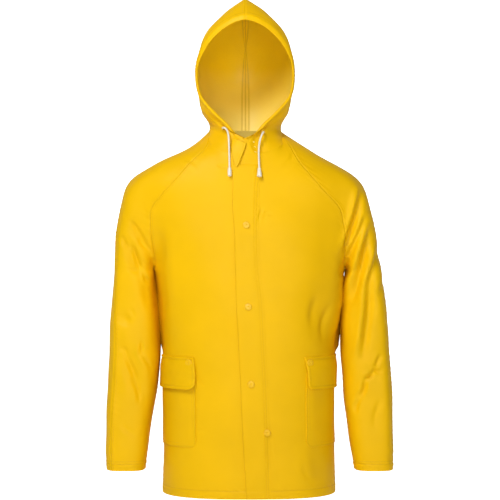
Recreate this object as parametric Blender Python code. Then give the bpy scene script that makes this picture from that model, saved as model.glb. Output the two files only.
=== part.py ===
"""Hooded raincoat: every piece that is cut and sewn, as cloth walls in the coat's worn, empty form.

Metres. +X is the wearer's left, -Y the front and +Z up. The origin is in the middle of the neck,
level with the front neck seam. The coat's form is a stack of level ovals, one for the body and one
for each arm, run together above the underarm; the hood is a stack of ovals of its own. Each panel is
a grid of points on that form, between its own seams, and its wall grows inwards from them.
"""

import math
from collections import namedtuple

import bpy
import numpy as np

# ---------------------------------------------------------------- sizes
CLOTH = 0.0020  # wall of the coated cloth
SEAM_GAP = 0.0003  # between two panels at a seam
LAYER_GAP = 0.0004  # between a panel and what lies on it
CASING = 0.0022
FLAP = 0.0022
FLAP_CLEARANCE = 0.0007  # between a pocket and its flap
POCKET_FLARE = 0.0020  # how far a pocket flap's side corner stands off

HEM_HEIGHT = -0.7465
CUFF_HEIGHT = -0.6955
UNDERARM = -0.2650
POCKET_BOTTOM = -0.6400
POCKET_TOP = -0.4820
POCKET_FLAP_BOTTOM = -0.5160
POCKET_FLAP_TOP = -0.4470
POCKET_INNER_EDGES = {1: 46.0, -1: 50.0}  # degrees forward of the side seam, by side
CASING_WIDTH = 0.0200
CROWN_ANGLE = 38.0  # where the top seam is counted as the back seam, above the level of the core
THROAT_TAB_LIFT = 0.0044  # clear of the casing and of the storm flap
SPLIT_DIRECTION = (0.21, 0.37, 1.0)  # what counts as the lower end of an edge
UNDERARM_DIPS = (0.0100, 0.0050, 0.0030)  # rows near the underarm pass below the seams' meeting point
UNDERARM_LEADS = (0.15, 0.35, 0.60)  # how far the rows below it lean towards the raglan seams
THROAT_BLEND = 0.0240  # height over which the throat goes from the coat's surface to the hood's

SNAP_RADIUS = 0.0075
SNAP_HEIGHT = 0.0026
SNAP_DIMPLE = 0.0011
POCKET_SNAP_SEAT = 0.0008  # the flap rises under the lower edge of its snap
EYELET_RADIUS = 0.0050
EYELET_HOLE = 0.0028
EYELET_HEIGHT = 0.0012
CORD_DIAMETER = 0.0042
CORD_POINTS = 24
CORD_END_RADIUS = 0.0041
CORD_END_LENGTH = 0.0190

YELLOW = (0.93, 0.50, 0.004, 1.0)
PLASTIC_YELLOW = (0.95, 0.54, 0.01, 1.0)
CORD_WHITE = (0.86, 0.84, 0.76, 1.0)

# ---------------------------------------------------------------- tables
Body = namedtuple("Body", "height half_width front back roundness lean")
BODY = (
    Body(-0.7465, 0.1885, 0.150, 0.130, 2.5, 0.0045),
    Body(-0.6500, 0.1870, 0.150, 0.126, 2.5, 0.0036),
    Body(-0.5500, 0.1850, 0.150, 0.121, 2.5, 0.0030),
    Body(-0.4620, 0.1882, 0.149, 0.119, 2.5, 0.0043),
    Body(-0.4180, 0.1925, 0.148, 0.118, 2.5, 0.0048),
    Body(-0.3700, 0.1970, 0.147, 0.119, 2.5, 0.0052),
    Body(-0.3300, 0.2003, 0.145, 0.121, 2.5, 0.0052),
    Body(-0.3000, 0.2032, 0.143, 0.122, 2.5, 0.0050),
    Body(-0.2650, 0.2080, 0.140, 0.124, 2.5, 0.0060),
    Body(-0.2200, 0.2150, 0.136, 0.125, 2.5, 0.0040),
    Body(-0.1760, 0.2250, 0.131, 0.124, 2.4, 0.0005),
    Body(-0.1320, 0.2385, 0.124, 0.122, 2.3, -0.0025),
    Body(-0.1100, 0.2460, 0.119, 0.120, 2.3, -0.0040),
    Body(-0.0880, 0.2530, 0.115, 0.118, 2.3, -0.0046),
    Body(-0.0660, 0.2460, 0.111, 0.115, 2.3, -0.0048),
    Body(-0.0440, 0.2160, 0.107, 0.111, 2.2, -0.0045),
    Body(-0.0220, 0.1740, 0.102, 0.106, 2.2, -0.0035),
    Body(0.0000, 0.1360, 0.095, 0.099, 2.1, 0.0030),
    Body(0.0220, 0.0890, 0.082, 0.090, 2.1, -0.0040),
    Body(0.0500, 0.0735, 0.068, 0.079, 2.0, -0.0050),
)

# slim is taken off the left arm's inner side and added to the right arm's
Arm = namedtuple("Arm", "height out half_width forward half_depth lean slim")
ARM = (
    Arm(-0.6955, 0.2692, 0.0405, 0.036, 0.0490, 0.0058, 0.0),
    Arm(-0.6740, 0.2684, 0.0434, 0.034, 0.0505, 0.0058, 0.0),
    Arm(-0.6160, 0.2639, 0.0468, 0.027, 0.0545, 0.0053, 0.0),
    Arm(-0.5500, 0.2593, 0.0512, 0.018, 0.0585, 0.0056, 0.0),
    Arm(-0.4840, 0.2544, 0.0536, 0.009, 0.0620, 0.0052, 0.0012),
    Arm(-0.4180, 0.2508, 0.0535, 0.002, 0.0645, 0.0042, 0.0015),
    Arm(-0.3300, 0.2511, 0.0481, -0.003, 0.0660, 0.0030, 0.0018),
    Arm(-0.2650, 0.2505, 0.0410, -0.003, 0.0660, 0.0010, 0.0025),
    Arm(-0.2400, 0.2465, 0.0432, -0.003, 0.0665, -0.0002, 0.0020),
    Arm(-0.2200, 0.2411, 0.0462, -0.003, 0.0670, -0.0010, 0.0015),
    Arm(-0.1760, 0.2330, 0.0508, -0.002, 0.0672, -0.0024, 0.0008),
    Arm(-0.1320, 0.2215, 0.0530, 0.000, 0.0670, -0.0035, 0.0),
    Arm(-0.1100, 0.2150, 0.0537, 0.000, 0.0670, -0.0040, 0.0),
    Arm(-0.0880, 0.2075, 0.0525, 0.000, 0.0660, -0.0046, 0.0),
    Arm(-0.0660, 0.1940, 0.0450, 0.000, 0.0630, -0.0048, 0.0),
    Arm(-0.0440, 0.1675, 0.0400, 0.000, 0.0600, -0.0045, 0.0),
    Arm(-0.0220, 0.1315, 0.0340, 0.000, 0.0550, -0.0035, 0.0),
    Arm(0.0000, 0.0940, 0.0300, 0.000, 0.0500, 0.0030, 0.0),
    Arm(0.0220, 0.0600, 0.0245, 0.000, 0.0450, -0.0040, 0.0),
    Arm(0.0500, 0.0270, 0.0200, 0.000, 0.0400, -0.0050, 0.0),
)
ARM_ROUNDNESS = 2.9
ARM_BLEND = 0.009
LEAST_BLEND = 0.0015  # at the underarm, where the valley is a crease
BLEND_RISE = 0.070  # height above the underarm at which the valley is as soft as it gets
OVERARM_TURNS = {1: 12.0, -1: 56.0}  # degrees by which the overarm seam is turned forward, by side
OVERARM_STRAIGHT = -0.060  # it is back on top of the arm at this height

Hood = namedtuple("Hood", "height half_width middle front back roundness")
HOOD = (
    Hood(-0.0400, 0.0800, 0.000, 0.096, 0.083, 2.0),
    Hood(0.0000, 0.0780, 0.000, 0.094, 0.082, 2.0),
    Hood(0.0400, 0.0738, -0.015, 0.077, 0.095, 2.1),
    Hood(0.0603, 0.0832, -0.036, 0.058, 0.121, 2.1),
    Hood(0.0818, 0.0958, -0.052, 0.050, 0.144, 2.1),
    Hood(0.1034, 0.0997, -0.063, 0.046, 0.163, 2.1),
    Hood(0.1250, 0.1037, -0.068, 0.045, 0.178, 2.1),
    Hood(0.1465, 0.1058, -0.070, 0.045, 0.187, 2.1),
    Hood(0.1681, 0.1056, -0.070, 0.045, 0.190, 2.1),
    Hood(0.1896, 0.1026, -0.070, 0.045, 0.188, 2.1),
    Hood(0.2112, 0.0983, -0.070, 0.045, 0.180, 2.0),
    Hood(0.2328, 0.0925, -0.070, 0.045, 0.166, 2.0),
    Hood(0.2543, 0.0808, -0.070, 0.046, 0.145, 1.9),
    Hood(0.2759, 0.0612, -0.068, 0.044, 0.116, 1.8),
    Hood(0.2974, 0.0396, -0.060, 0.034, 0.077, 1.7),
    Hood(0.3190, 0.0110, -0.054, 0.014, 0.028, 1.7),
    Hood(0.3260, 0.0010, -0.052, 0.002, 0.004, 1.7),
)
HOOD_LEAN = -0.0036
HOOD_CORE = (HOOD_LEAN, -0.010, 0.150)  # every point of the hood is seen from here

Rim = namedtuple("Rim", "out height")
RIM = (
    Rim(0.0000, 0.0195),
    Rim(0.0160, 0.0265),
    Rim(0.0310, 0.0435),
    Rim(0.0513, 0.0624),
    Rim(0.0748, 0.0857),
    Rim(0.0935, 0.1071),
    Rim(0.1012, 0.1264),
    Rim(0.1040, 0.1542),
    Rim(0.1018, 0.1777),
    Rim(0.0939, 0.1976),
    Rim(0.0787, 0.2227),
    Rim(0.0562, 0.2459),
    Rim(0.0257, 0.2650),
    Rim(0.0000, 0.2722),
)

CasingShare = namedtuple("CasingShare", "row left right")  # of CASING_WIDTH, from the throat up
CASING_SHARES = (
    CasingShare(1, 0.50, 0.30),
    CasingShare(2, 0.70, 0.60),
    CasingShare(3, 0.88, 0.90),
    CasingShare(4, 1.00, 1.00),
)

ThroatRow = namedtuple("ThroatRow", "left left_height right right_height")
THROAT_TAB = (
    ThroatRow(-0.0318, 0.0213, -0.0009, 0.0084),
    ThroatRow(-0.0330, 0.0080, -0.0040, -0.0020),
    ThroatRow(-0.0325, -0.0080, -0.0085, -0.0140),
    ThroatRow(-0.0300, -0.0240, -0.0140, -0.0280),
    ThroatRow(-0.0265, -0.0400, -0.0205, -0.0440),
)

Neck = namedtuple("Neck", "turn height")  # degrees round the neck, -90 at the front, 90 at the back
NECK = (
    Neck(-90, -0.0140),
    Neck(-65, -0.0100),
    Neck(-45, 0.0060),
    Neck(-28, 0.0240),
    Neck(0, 0.0400),
    Neck(45, 0.0460),
    Neck(90, 0.0480),
)
NECK_FRONT_RAGLAN = -28.0
NECK_BACK_RAGLAN = 52.0

Raglan = namedtuple("Raglan", "height front_out back_out over_height")
RAGLAN = (
    Raglan(-0.2650, 0.2080, 0.2080, -0.2650),
    Raglan(-0.2560, 0.2068, 0.2068, -0.2400),
    Raglan(-0.2380, 0.2070, 0.2060, -0.2130),
    Raglan(-0.2130, 0.2078, 0.2060, -0.1850),
    Raglan(-0.1860, 0.2085, 0.2060, -0.1570),
    Raglan(-0.1590, 0.2075, 0.2030, -0.1300),
    Raglan(-0.1330, 0.2035, 0.1960, -0.1060),
    Raglan(-0.1080, 0.1850, 0.1820, -0.0850),
    Raglan(-0.0830, 0.1620, 0.1630, -0.0650),
    Raglan(-0.0570, 0.1390, 0.1420, -0.0440),
    Raglan(-0.0300, 0.1160, 0.1180, -0.0200),
    Raglan(-0.0030, 0.0945, 0.0900, 0.0070),
)

Fly = namedtuple("Fly", "height free_edge stitch")
FLY = (
    Fly(-0.7465, -0.0010, 0.0468),
    Fly(-0.6058, -0.0092, 0.0433),
    Fly(-0.5025, -0.0139, 0.0392),
    Fly(-0.4204, -0.0177, 0.0350),
    Fly(-0.3256, -0.0230, 0.0305),
    Fly(-0.2496, -0.0251, 0.0228),
    Fly(-0.1734, -0.0273, 0.0206),
    Fly(-0.1287, -0.0306, 0.0213),
    Fly(-0.0707, -0.0297, 0.0235),
    Fly(0.0000, -0.0300, 0.0320),
)
FLY_SELVEDGE = 0.005  # cloth beyond the stitches
FRONT_EDGE_SHARE = 0.45  # the fronts meet this far across the storm flap

Fold = namedtuple("Fold", "out1 height1 out2 height2 width depth back")
FOLDS = (
    Fold(0.2461, -0.0798, 0.2277, -0.1445, 0.013, 0.0030, 0),
    Fold(0.2277, -0.1445, 0.2150, -0.2416, 0.012, 0.0045, 0),
    Fold(0.2662, -0.1681, 0.2283, -0.2957, 0.014, 0.0055, 0),
    Fold(0.2727, -0.2243, 0.2565, -0.3195, 0.013, 0.0040, 0),
    Fold(0.2565, -0.3195, 0.2381, -0.4580, 0.015, 0.0035, 0),
    Fold(0.2922, -0.4731, 0.2511, -0.5077, 0.013, 0.0040, 0),
    Fold(0.2511, -0.5077, 0.2337, -0.5640, 0.014, 0.0040, 0),
    Fold(-0.2508, -0.1594, -0.2119, -0.2308, 0.013, 0.0035, 0),
    Fold(-0.2595, -0.1984, -0.2205, -0.2871, 0.014, 0.0040, 0),
    Fold(-0.2205, -0.2871, -0.2087, -0.3433, 0.014, 0.0030, 0),
    Fold(-0.2725, -0.3585, -0.2552, -0.3801, 0.013, 0.0030, 0),
    Fold(-0.2665, -0.4336, -0.2205, -0.5467, 0.016, 0.0035, 0),
    Fold(0.1254, -0.3260, 0.1900, -0.4300, 0.030, 0.0040, 0),
    Fold(-0.1919, -0.1725, -0.1880, -0.2460, 0.016, 0.0035, 0),
    Fold(0.2600, -0.1500, 0.2050, -0.2500, 0.016, 0.0050, 1),
    Fold(0.2750, -0.2300, 0.2300, -0.3300, 0.016, 0.0040, 1),
    Fold(0.2900, -0.3900, 0.2400, -0.4500, 0.017, 0.0040, 1),
    Fold(-0.2600, -0.1450, -0.2050, -0.2400, 0.016, 0.0045, 1),
    Fold(-0.2760, -0.2450, -0.2250, -0.3250, 0.016, 0.0040, 1),
    Fold(-0.2880, -0.4050, -0.2350, -0.4800, 0.017, 0.0040, 1),
    Fold(0.0900, -0.1300, 0.1900, -0.2300, 0.024, 0.0040, 1),
    Fold(-0.0850, -0.1400, -0.1850, -0.2400, 0.024, 0.0040, 1),
    Fold(-0.1200, -0.3900, 0.0200, -0.4350, 0.034, 0.0045, 1),
    Fold(0.0300, -0.4700, 0.1500, -0.4350, 0.034, 0.0040, 1),
)

CordPoint = namedtuple("CordPoint", "x y z")
LEFT_CORD = (
    CordPoint(0.0354, -0.0836, 0.0334),
    CordPoint(0.0356, -0.0877, 0.0333),
    CordPoint(0.0348, -0.0915, 0.0323),
    CordPoint(0.0333, -0.0943, 0.0298),
    CordPoint(0.0314, -0.0960, 0.0258),
    CordPoint(0.0295, -0.0968, 0.0206),
    CordPoint(0.0278, -0.0972, 0.0145),
    CordPoint(0.0265, -0.0978, 0.0078),
    CordPoint(0.0257, -0.0990, 0.0005),
    CordPoint(0.0254, -0.1010, -0.0070),
    CordPoint(0.0254, -0.1037, -0.0150),
    CordPoint(0.0256, -0.1068, -0.0240),
    CordPoint(0.0259, -0.1100, -0.0340),
    CordPoint(0.0262, -0.1133, -0.0450),
)
RIGHT_CORD = (
    CordPoint(-0.0515, -0.0809, 0.0419),
    CordPoint(-0.0518, -0.0850, 0.0420),
    CordPoint(-0.0506, -0.0889, 0.0424),
    CordPoint(-0.0481, -0.0921, 0.0420),
    CordPoint(-0.0450, -0.0943, 0.0397),
    CordPoint(-0.0423, -0.0954, 0.0355),
    CordPoint(-0.0404, -0.0957, 0.0298),
    CordPoint(-0.0393, -0.0957, 0.0232),
    CordPoint(-0.0387, -0.0959, 0.0157),
    CordPoint(-0.0384, -0.0966, 0.0075),
    CordPoint(-0.0381, -0.0980, -0.0010),
    CordPoint(-0.0379, -0.1000, -0.0100),
    CordPoint(-0.0376, -0.1028, -0.0200),
    CordPoint(-0.0373, -0.1065, -0.0310),
    CordPoint(-0.0370, -0.1108, -0.0440),
)
LEFT_EYELET = (0.0338, 0.0338)
RIGHT_EYELET = (-0.0495, 0.0425)

SnapPlace = namedtuple("SnapPlace", "x z")
FRONT_SNAPS = (
    SnapPlace(-0.0012, -0.1675),
    SnapPlace(0.0028, -0.3403),
    SnapPlace(0.0089, -0.5032),
    SnapPlace(0.0425, -0.6052),
)
POCKET_SNAP_INSET = (0.010, 0.012)  # from the flap's inner edge, and from its top

# ---------------------------------------------------------------- grids
FRONT_TURNS = 12
BACK_TURNS = 20
SLEEVE_TURNS = 8
HOOD_ROWS = 16
BODY_HEIGHTS = (
    HEM_HEIGHT,
    -0.6930,
    POCKET_BOTTOM,
    -0.5980,
    -0.5570,
    POCKET_FLAP_BOTTOM,
    POCKET_TOP,
    POCKET_FLAP_TOP,
    -0.4080,
    -0.3700,
    -0.3320,
    -0.2980,
    UNDERARM,
)
UNDERARM_ROWS = slice(len(BODY_HEIGHTS) - 1, len(BODY_HEIGHTS) - 1 + len(UNDERARM_DIPS))
SLEEVE_HEIGHTS = (
    CUFF_HEIGHT,
    -0.6650,
    -0.6250,
    -0.5850,
    -0.5480,
    -0.5120,
    -0.4770,
    -0.4420,
    -0.4060,
    -0.3700,
    -0.3320,
    -0.2980,
    UNDERARM,
)


# ---------------------------------------------------------------- curves and forms
def column(table, name):
    return np.array([getattr(row, name) for row in table], dtype=float)


def curve_through(knots, values, at):
    """Smooth curve through a table that never overshoots: cubic between knots, flat at a peak."""
    step = np.diff(knots)
    rise = np.diff(values) / step
    slope = np.empty_like(values)
    slope[0], slope[-1] = rise[0], rise[-1]
    same_way = rise[:-1] * rise[1:] > 0
    total = np.where(same_way, rise[:-1] + rise[1:], 1.0)
    slope[1:-1] = np.where(same_way, 2 * rise[:-1] * rise[1:] / total, 0.0)
    at = np.clip(at, knots[0], knots[-1])
    cell = np.clip(np.searchsorted(knots, at, side="right") - 1, 0, len(step) - 1)
    t = (at - knots[cell]) / step[cell]
    start = values[cell] * (1 + 2 * t) * (1 - t) ** 2 + slope[cell] * step[cell] * t * (1 - t) ** 2
    end = values[cell + 1] * t * t * (3 - 2 * t) + slope[cell + 1] * step[cell] * t * t * (t - 1)
    return start + end


def read_table(table, name, at):
    return curve_through(column(table, table[0]._fields[0]), column(table, name), at)


def oval_distance(x, y, half_width, half_depth, roundness):
    """How far a point is outside the oval |x/a|^n + |y/b|^n = 1, along the line to its middle."""
    reach = np.hypot(x, y) + 1e-9
    power = np.abs(x / half_width) ** roundness + np.abs(y / half_depth) ** roundness + 1e-12
    return reach * (1 - power ** (-1 / roundness))


def body_distance(points):
    x, y, z = points[..., 0], points[..., 1], points[..., 2]
    depth = np.where(y < 0, read_table(BODY, "front", z), read_table(BODY, "back", z))
    width = read_table(BODY, "half_width", z)
    return oval_distance(x - read_table(BODY, "lean", z), y, width, depth, read_table(BODY, "roundness", z))


def arm_distance(points):
    x, y, z = points[..., 0], points[..., 1], points[..., 2]
    away = x - read_table(ARM, "lean", z)
    slim = read_table(ARM, "slim", z) * np.sign(away)
    out = np.abs(away) - read_table(ARM, "out", z) - slim
    width, depth = read_table(ARM, "half_width", z) - slim, read_table(ARM, "half_depth", z)
    return oval_distance(out, y + read_table(ARM, "forward", z), width, depth, ARM_ROUNDNESS)


def shoulder_distance(points):
    """Body and arm run together in a soft valley."""
    risen = np.clip((points[..., 2] - UNDERARM) / BLEND_RISE, 0.0, 1.0)
    blend = LEAST_BLEND + (ARM_BLEND - LEAST_BLEND) * risen
    body = np.clip(body_distance(points) / blend, -60, 60)
    arm = np.clip(arm_distance(points) / blend, -60, 60)
    return -blend * np.log(np.exp(-body) + np.exp(-arm))


def hood_distance(points):
    x, y, z = points[..., 0], points[..., 1], points[..., 2]
    y = y - read_table(HOOD, "middle", z)
    depth = np.where(y < 0, read_table(HOOD, "front", z), read_table(HOOD, "back", z))
    above = np.maximum(z - HOOD[-1].height, 0.0)
    width = read_table(HOOD, "half_width", z)
    return oval_distance(x - HOOD_LEAN, y, width, depth, read_table(HOOD, "roundness", z)) + above


def cast(distance, start, direction, inside=True, reach=0.42, steps=84):
    """First crossing of a form along straight lines, from inside it outwards, or from outside it."""
    start = np.broadcast_to(start, direction.shape)
    sign = 1.0 if inside else -1.0
    t = np.linspace(0.0, reach, steps)
    walk = start[..., None, :] + direction[..., None, :] * t[:, None]
    crossed = sign * distance(walk) > 0
    crossed[..., 0] = False
    if not np.all(crossed.any(axis=-1)):
        raise ValueError("a line never crosses the form")
    first = np.argmax(crossed, axis=-1)
    low, high = t[first - 1], t[first]
    for _ in range(26):
        middle = (low + high) / 2
        outside = sign * distance(start + direction * middle[..., None]) > 0
        high = np.where(outside, middle, high)
        low = np.where(outside, low, middle)
    return start + direction * ((low + high) / 2)[..., None]


def unit(vectors):
    return vectors / np.linalg.norm(vectors, axis=-1, keepdims=True)


def normals(distance, points, step=0.0015):
    """Outward direction of a form, from its slopes along the three axes."""
    slopes = []
    for axis in range(3):
        shift = np.zeros(3)
        shift[axis] = step
        slopes.append(distance(points + shift) - distance(points - shift))
    return unit(np.stack(slopes, axis=-1))


def from_front(distance, x, z):
    """Points of a form's front at given places in the front view."""
    x, z = np.broadcast_arrays(np.asarray(x, float), np.asarray(z, float))
    start = np.stack([x, np.full(x.shape, -0.30), z], axis=-1)
    direction = np.broadcast_to([0.0, 1.0, 0.0], start.shape)
    return cast(distance, start, direction, inside=False)


def from_back(distance, x, z):
    x, z = np.broadcast_arrays(np.asarray(x, float), np.asarray(z, float))
    start = np.stack([x, np.full(x.shape, 0.30), z], axis=-1)
    direction = np.broadcast_to([0.0, -1.0, 0.0], start.shape)
    return cast(distance, start, direction, inside=False)


def turn_towards(degrees):
    """Level direction: 0 is +X, -90 the front, 90 the back."""
    angle = np.radians(degrees)
    return np.stack([np.cos(angle), np.sin(angle), np.zeros_like(angle)], axis=-1)


def turn_of(points, middle_x):
    return np.degrees(np.arctan2(points[..., 1], points[..., 0] - middle_x))


# ---------------------------------------------------------------- folds
def fold_rise(points):
    """How far the cloth stands out: each fold is a soft trough between two low ridges."""
    x, y, z = points[..., 0], points[..., 1], points[..., 2]
    rise = np.zeros(x.shape)
    for fold in FOLDS:
        along = np.array([fold.out2 - fold.out1, fold.height2 - fold.height1])
        length = np.hypot(*along)
        share = ((x - fold.out1) * along[0] + (z - fold.height1) * along[1]) / length**2
        nearest = np.clip(share, 0.0, 1.0)
        beside = x - fold.out1 - nearest * along[0], z - fold.height1 - nearest * along[1]
        across = np.hypot(*beside) / fold.width
        ends = np.clip(1.2 - np.abs(share - 0.5) * 1.6, 0.0, 1.0)
        facing = y if fold.back else -y
        seen = np.clip(facing / 0.03 + 0.4, 0.0, 1.0)
        rise -= fold.depth * (1 - 0.55 * across**2) * np.exp(-(across**2) / 1.6) * ends * seen
    return rise


# ---------------------------------------------------------------- seams
class Seam:
    """Points along a line where panels meet, with the outward directions that their walls share."""

    def __init__(self, points, outward):
        self.points = points
        self.outward = unit(outward)


def both(distance, points):
    return Seam(points, normals(distance, points))


def neck_seam(turns, side):
    """The neck seam between two turns: shared by the coat and the hood."""
    turns = np.asarray(turns, dtype=float)
    heights = read_table(NECK, "height", turns)
    direction = turn_towards(turns) * np.array([side, 1.0, 1.0])
    start = np.stack([np.full(turns.shape, HOOD_LEAN), np.zeros(turns.shape), heights], axis=-1)
    points = cast(shoulder_distance, start, direction)
    outward = normals(shoulder_distance, points) + normals(hood_distance, points)
    outward[np.abs(turns) == 90, 0] = 0.0
    return Seam(points, outward)


def side_seam(side):
    heights = np.array(BODY_HEIGHTS)
    start = np.stack([read_table(BODY, "lean", heights), np.zeros(heights.shape), heights], axis=-1)
    points = cast(body_distance, start, np.broadcast_to([side, 0.0, 0.0], start.shape))
    seam = both(body_distance, points)
    seam.points[-1] = underarm_point(side)
    seam.outward[-1] = (0.0, 0.0, -1.0)
    return seam


def underarm_point(side):
    """Where the side seam, the underarm seam and both raglan seams meet."""
    lean = (read_table(BODY, "lean", UNDERARM) + read_table(ARM, "lean", UNDERARM)) / 2
    lean += read_table(ARM, "slim", UNDERARM)
    return np.array([float(lean) + side * RAGLAN[0].front_out, 0.0, UNDERARM])


def underarm_seam(side):
    heights = np.array(SLEEVE_HEIGHTS)
    start = arm_middle(side, heights)
    points = cast(arm_distance, start, np.broadcast_to([-side, 0.0, 0.0], start.shape), reach=0.08)
    seam = both(arm_distance, points)
    seam.points[-1] = underarm_point(side)
    seam.outward[-1] = (0.0, 0.0, -1.0)
    return seam


def arm_middle(side, heights):
    lean = read_table(ARM, "lean", heights) + read_table(ARM, "slim", heights)
    x = side * read_table(ARM, "out", heights) + lean
    return np.stack([x, -read_table(ARM, "forward", heights), heights], axis=-1)


def raglan_seam(side, back):
    """From the underarm to the neck, over the front or the back of the shoulder."""
    rows = RAGLAN[1:]
    heights = column(rows, "height")
    out = column(rows, "back_out" if back else "front_out")
    x = side * out + read_table(BODY, "lean", heights)
    see = from_back if back else from_front
    points = see(shoulder_distance, x, heights)
    neck = neck_seam([NECK_BACK_RAGLAN if back else NECK_FRONT_RAGLAN], side)
    outward = normals(shoulder_distance, points)
    start = underarm_point(side)[None]
    return Seam(
        np.concatenate([start, points, neck.points]),
        np.concatenate([[[0.0, 0.0, -1.0]], outward, neck.outward]),
    )


def overarm_direction(side, heights):
    """Level direction from the arm's middle to the overarm seam, turned forward below the shoulder."""
    down = (OVERARM_STRAIGHT - heights) / (OVERARM_STRAIGHT - UNDERARM)
    turn = OVERARM_TURNS[side] * np.clip(down, 0.0, 1.0)
    return turn_towards(-turn) * np.array([side, 1.0, 1.0])


def overarm_seam(side):
    """Down the outer sleeve from the neck to the cuff, listed from the cuff up."""
    heights = np.array(SLEEVE_HEIGHTS[:-1])
    low = cast(arm_distance, arm_middle(side, heights), overarm_direction(side, heights), reach=0.08)
    upper = column(RAGLAN, "over_height")
    high = cast(shoulder_distance, arm_middle(side, upper), overarm_direction(side, upper), reach=0.20)
    neck = neck_seam([0.0], side)
    return Seam(
        np.concatenate([low, high, neck.points]),
        np.concatenate([normals(arm_distance, low), normals(shoulder_distance, high), neck.outward]),
    )


# ---------------------------------------------------------------- walls
def pulled_edges(outer):
    """Each edge of a grid drawn in by half a seam gap."""
    points = outer.copy()
    for edge, inner in ((0, 1), (-1, -2)):
        points[edge] += unit(outer[inner] - outer[edge]) * SEAM_GAP / 2
    for edge, inner in ((0, 1), (-1, -2)):
        points[:, edge] += unit(outer[:, inner] - outer[:, edge]) * SEAM_GAP / 2
    return points


def wall_mesh(name, outer, inner, material, mirrored=False):
    """Closed wall between two grids of points, the outer one seen from outside.

    A quad is split from its first corner to its third; in mirrored columns it starts at the next corner.
    The edge's quads start at their lower end, so that two pieces split the wall of a shared seam alike.
    """
    rows, turns = outer.shape[:2]
    count = rows * turns
    index = np.arange(count).reshape(rows, turns)
    a, b, c, d = index[:-1, :-1], index[:-1, 1:], index[1:, 1:], index[1:, :-1]
    turned = np.broadcast_to(mirrored, (turns - 1,))[None, :, None]
    quads = np.where(turned, np.stack([b, c, d, a], axis=-1), np.stack([a, b, c, d], axis=-1))
    front = quads.reshape(-1, 4)
    back = front[:, [0, 3, 2, 1]] + count
    loop = np.concatenate([index[0, :-1], index[:-1, -1], index[-1, :0:-1], index[:0:-1, 0]])
    following = np.roll(loop, -1)
    vertices = np.concatenate([outer.reshape(-1, 3), inner.reshape(-1, 3)])
    along = vertices @ np.array(SPLIT_DIRECTION)
    climbing = (along[loop] < along[following])[:, None]
    rim = np.where(
        climbing,
        np.stack([loop, loop + count, following + count, following], axis=-1),
        np.stack([following, loop, loop + count, following + count], axis=-1),
    )
    faces = np.concatenate([front, back, rim])
    return new_object(name, vertices, faces, material)


def new_object(name, vertices, faces, material):
    mesh = bpy.data.meshes.new(name)
    mesh.from_pydata(vertices.tolist(), [], [list(face) for face in faces.tolist()])
    mesh.validate()
    corners = vertices[np.array([face[:3] for face in faces.tolist()])]
    volume = np.einsum("ij,ij->i", corners[:, 0], np.cross(corners[:, 1], corners[:, 2])).sum()
    if volume < 0:
        mesh.flip_normals()
    mesh.materials.append(material)
    mesh.shade_smooth()
    mesh.set_sharp_from_angle(angle=math.radians(50))
    thing = bpy.data.objects.new(name, mesh)
    coat.objects.link(thing)
    return thing


def cloth_panel(name, points, outward, mirrored=False):
    """A panel's wall from its outer points; its folds move it along the shared directions."""
    outer = points + outward * fold_rise(points)[..., None]
    outer = pulled_edges(outer)
    wall_mesh(name, outer, outer - outward * CLOTH, cloth, mirrored)
    return outer


def layer(name, points, outward, lift, thickness, material, mirrored=False):
    """A piece that lies on a panel: its points moved out by lift, then a wall on top of them."""
    inner = points + outward * np.asarray(lift)[..., None]
    return wall_mesh(name, inner + outward * thickness, inner, material, mirrored)


# ---------------------------------------------------------------- body
def front_edge(heights):
    """X of the line where the fronts meet under the storm flap."""
    free = read_table(FLY, "free_edge", heights)
    return free + (read_table(FLY, "stitch", heights) - free) * FRONT_EDGE_SHARE


def fly_edge(heights, side):
    if side > 0:
        return read_table(FLY, "stitch", heights) + FLY_SELVEDGE
    return read_table(FLY, "free_edge", heights)


def front_heights(seam_points, top_turns, share):
    """Heights of a front's rows: level at the side, rising to follow the neck seam at the top."""
    side = seam_points[:, 2]
    top = read_table(NECK, "height", top_turns)
    above = np.clip((side - UNDERARM) / (side[-1] - UNDERARM), 0.0, 1.0)
    centre = UNDERARM + (top[0] - UNDERARM) * above
    centre = np.where(side < UNDERARM, side, centre)
    level = centre[:, None] + (side - centre)[:, None] * share[None, :]
    straight_top = centre[-1] + (side[-1] - centre[-1]) * share
    heights = level + (above**3)[:, None] * (top - straight_top)[None, :]
    heights[UNDERARM_ROWS, :-1] -= np.array(UNDERARM_DIPS)[:, None]
    return heights


def led_turns(border_turn):
    """The border's turns, with the rows below the underarm drawn towards the raglan seam's first point."""
    led = border_turn.copy()
    first = len(BODY_HEIGHTS)
    rows = slice(first - len(UNDERARM_LEADS), first)
    led[rows] += (led[first] - led[rows]) * np.array(UNDERARM_LEADS)
    return led


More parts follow.
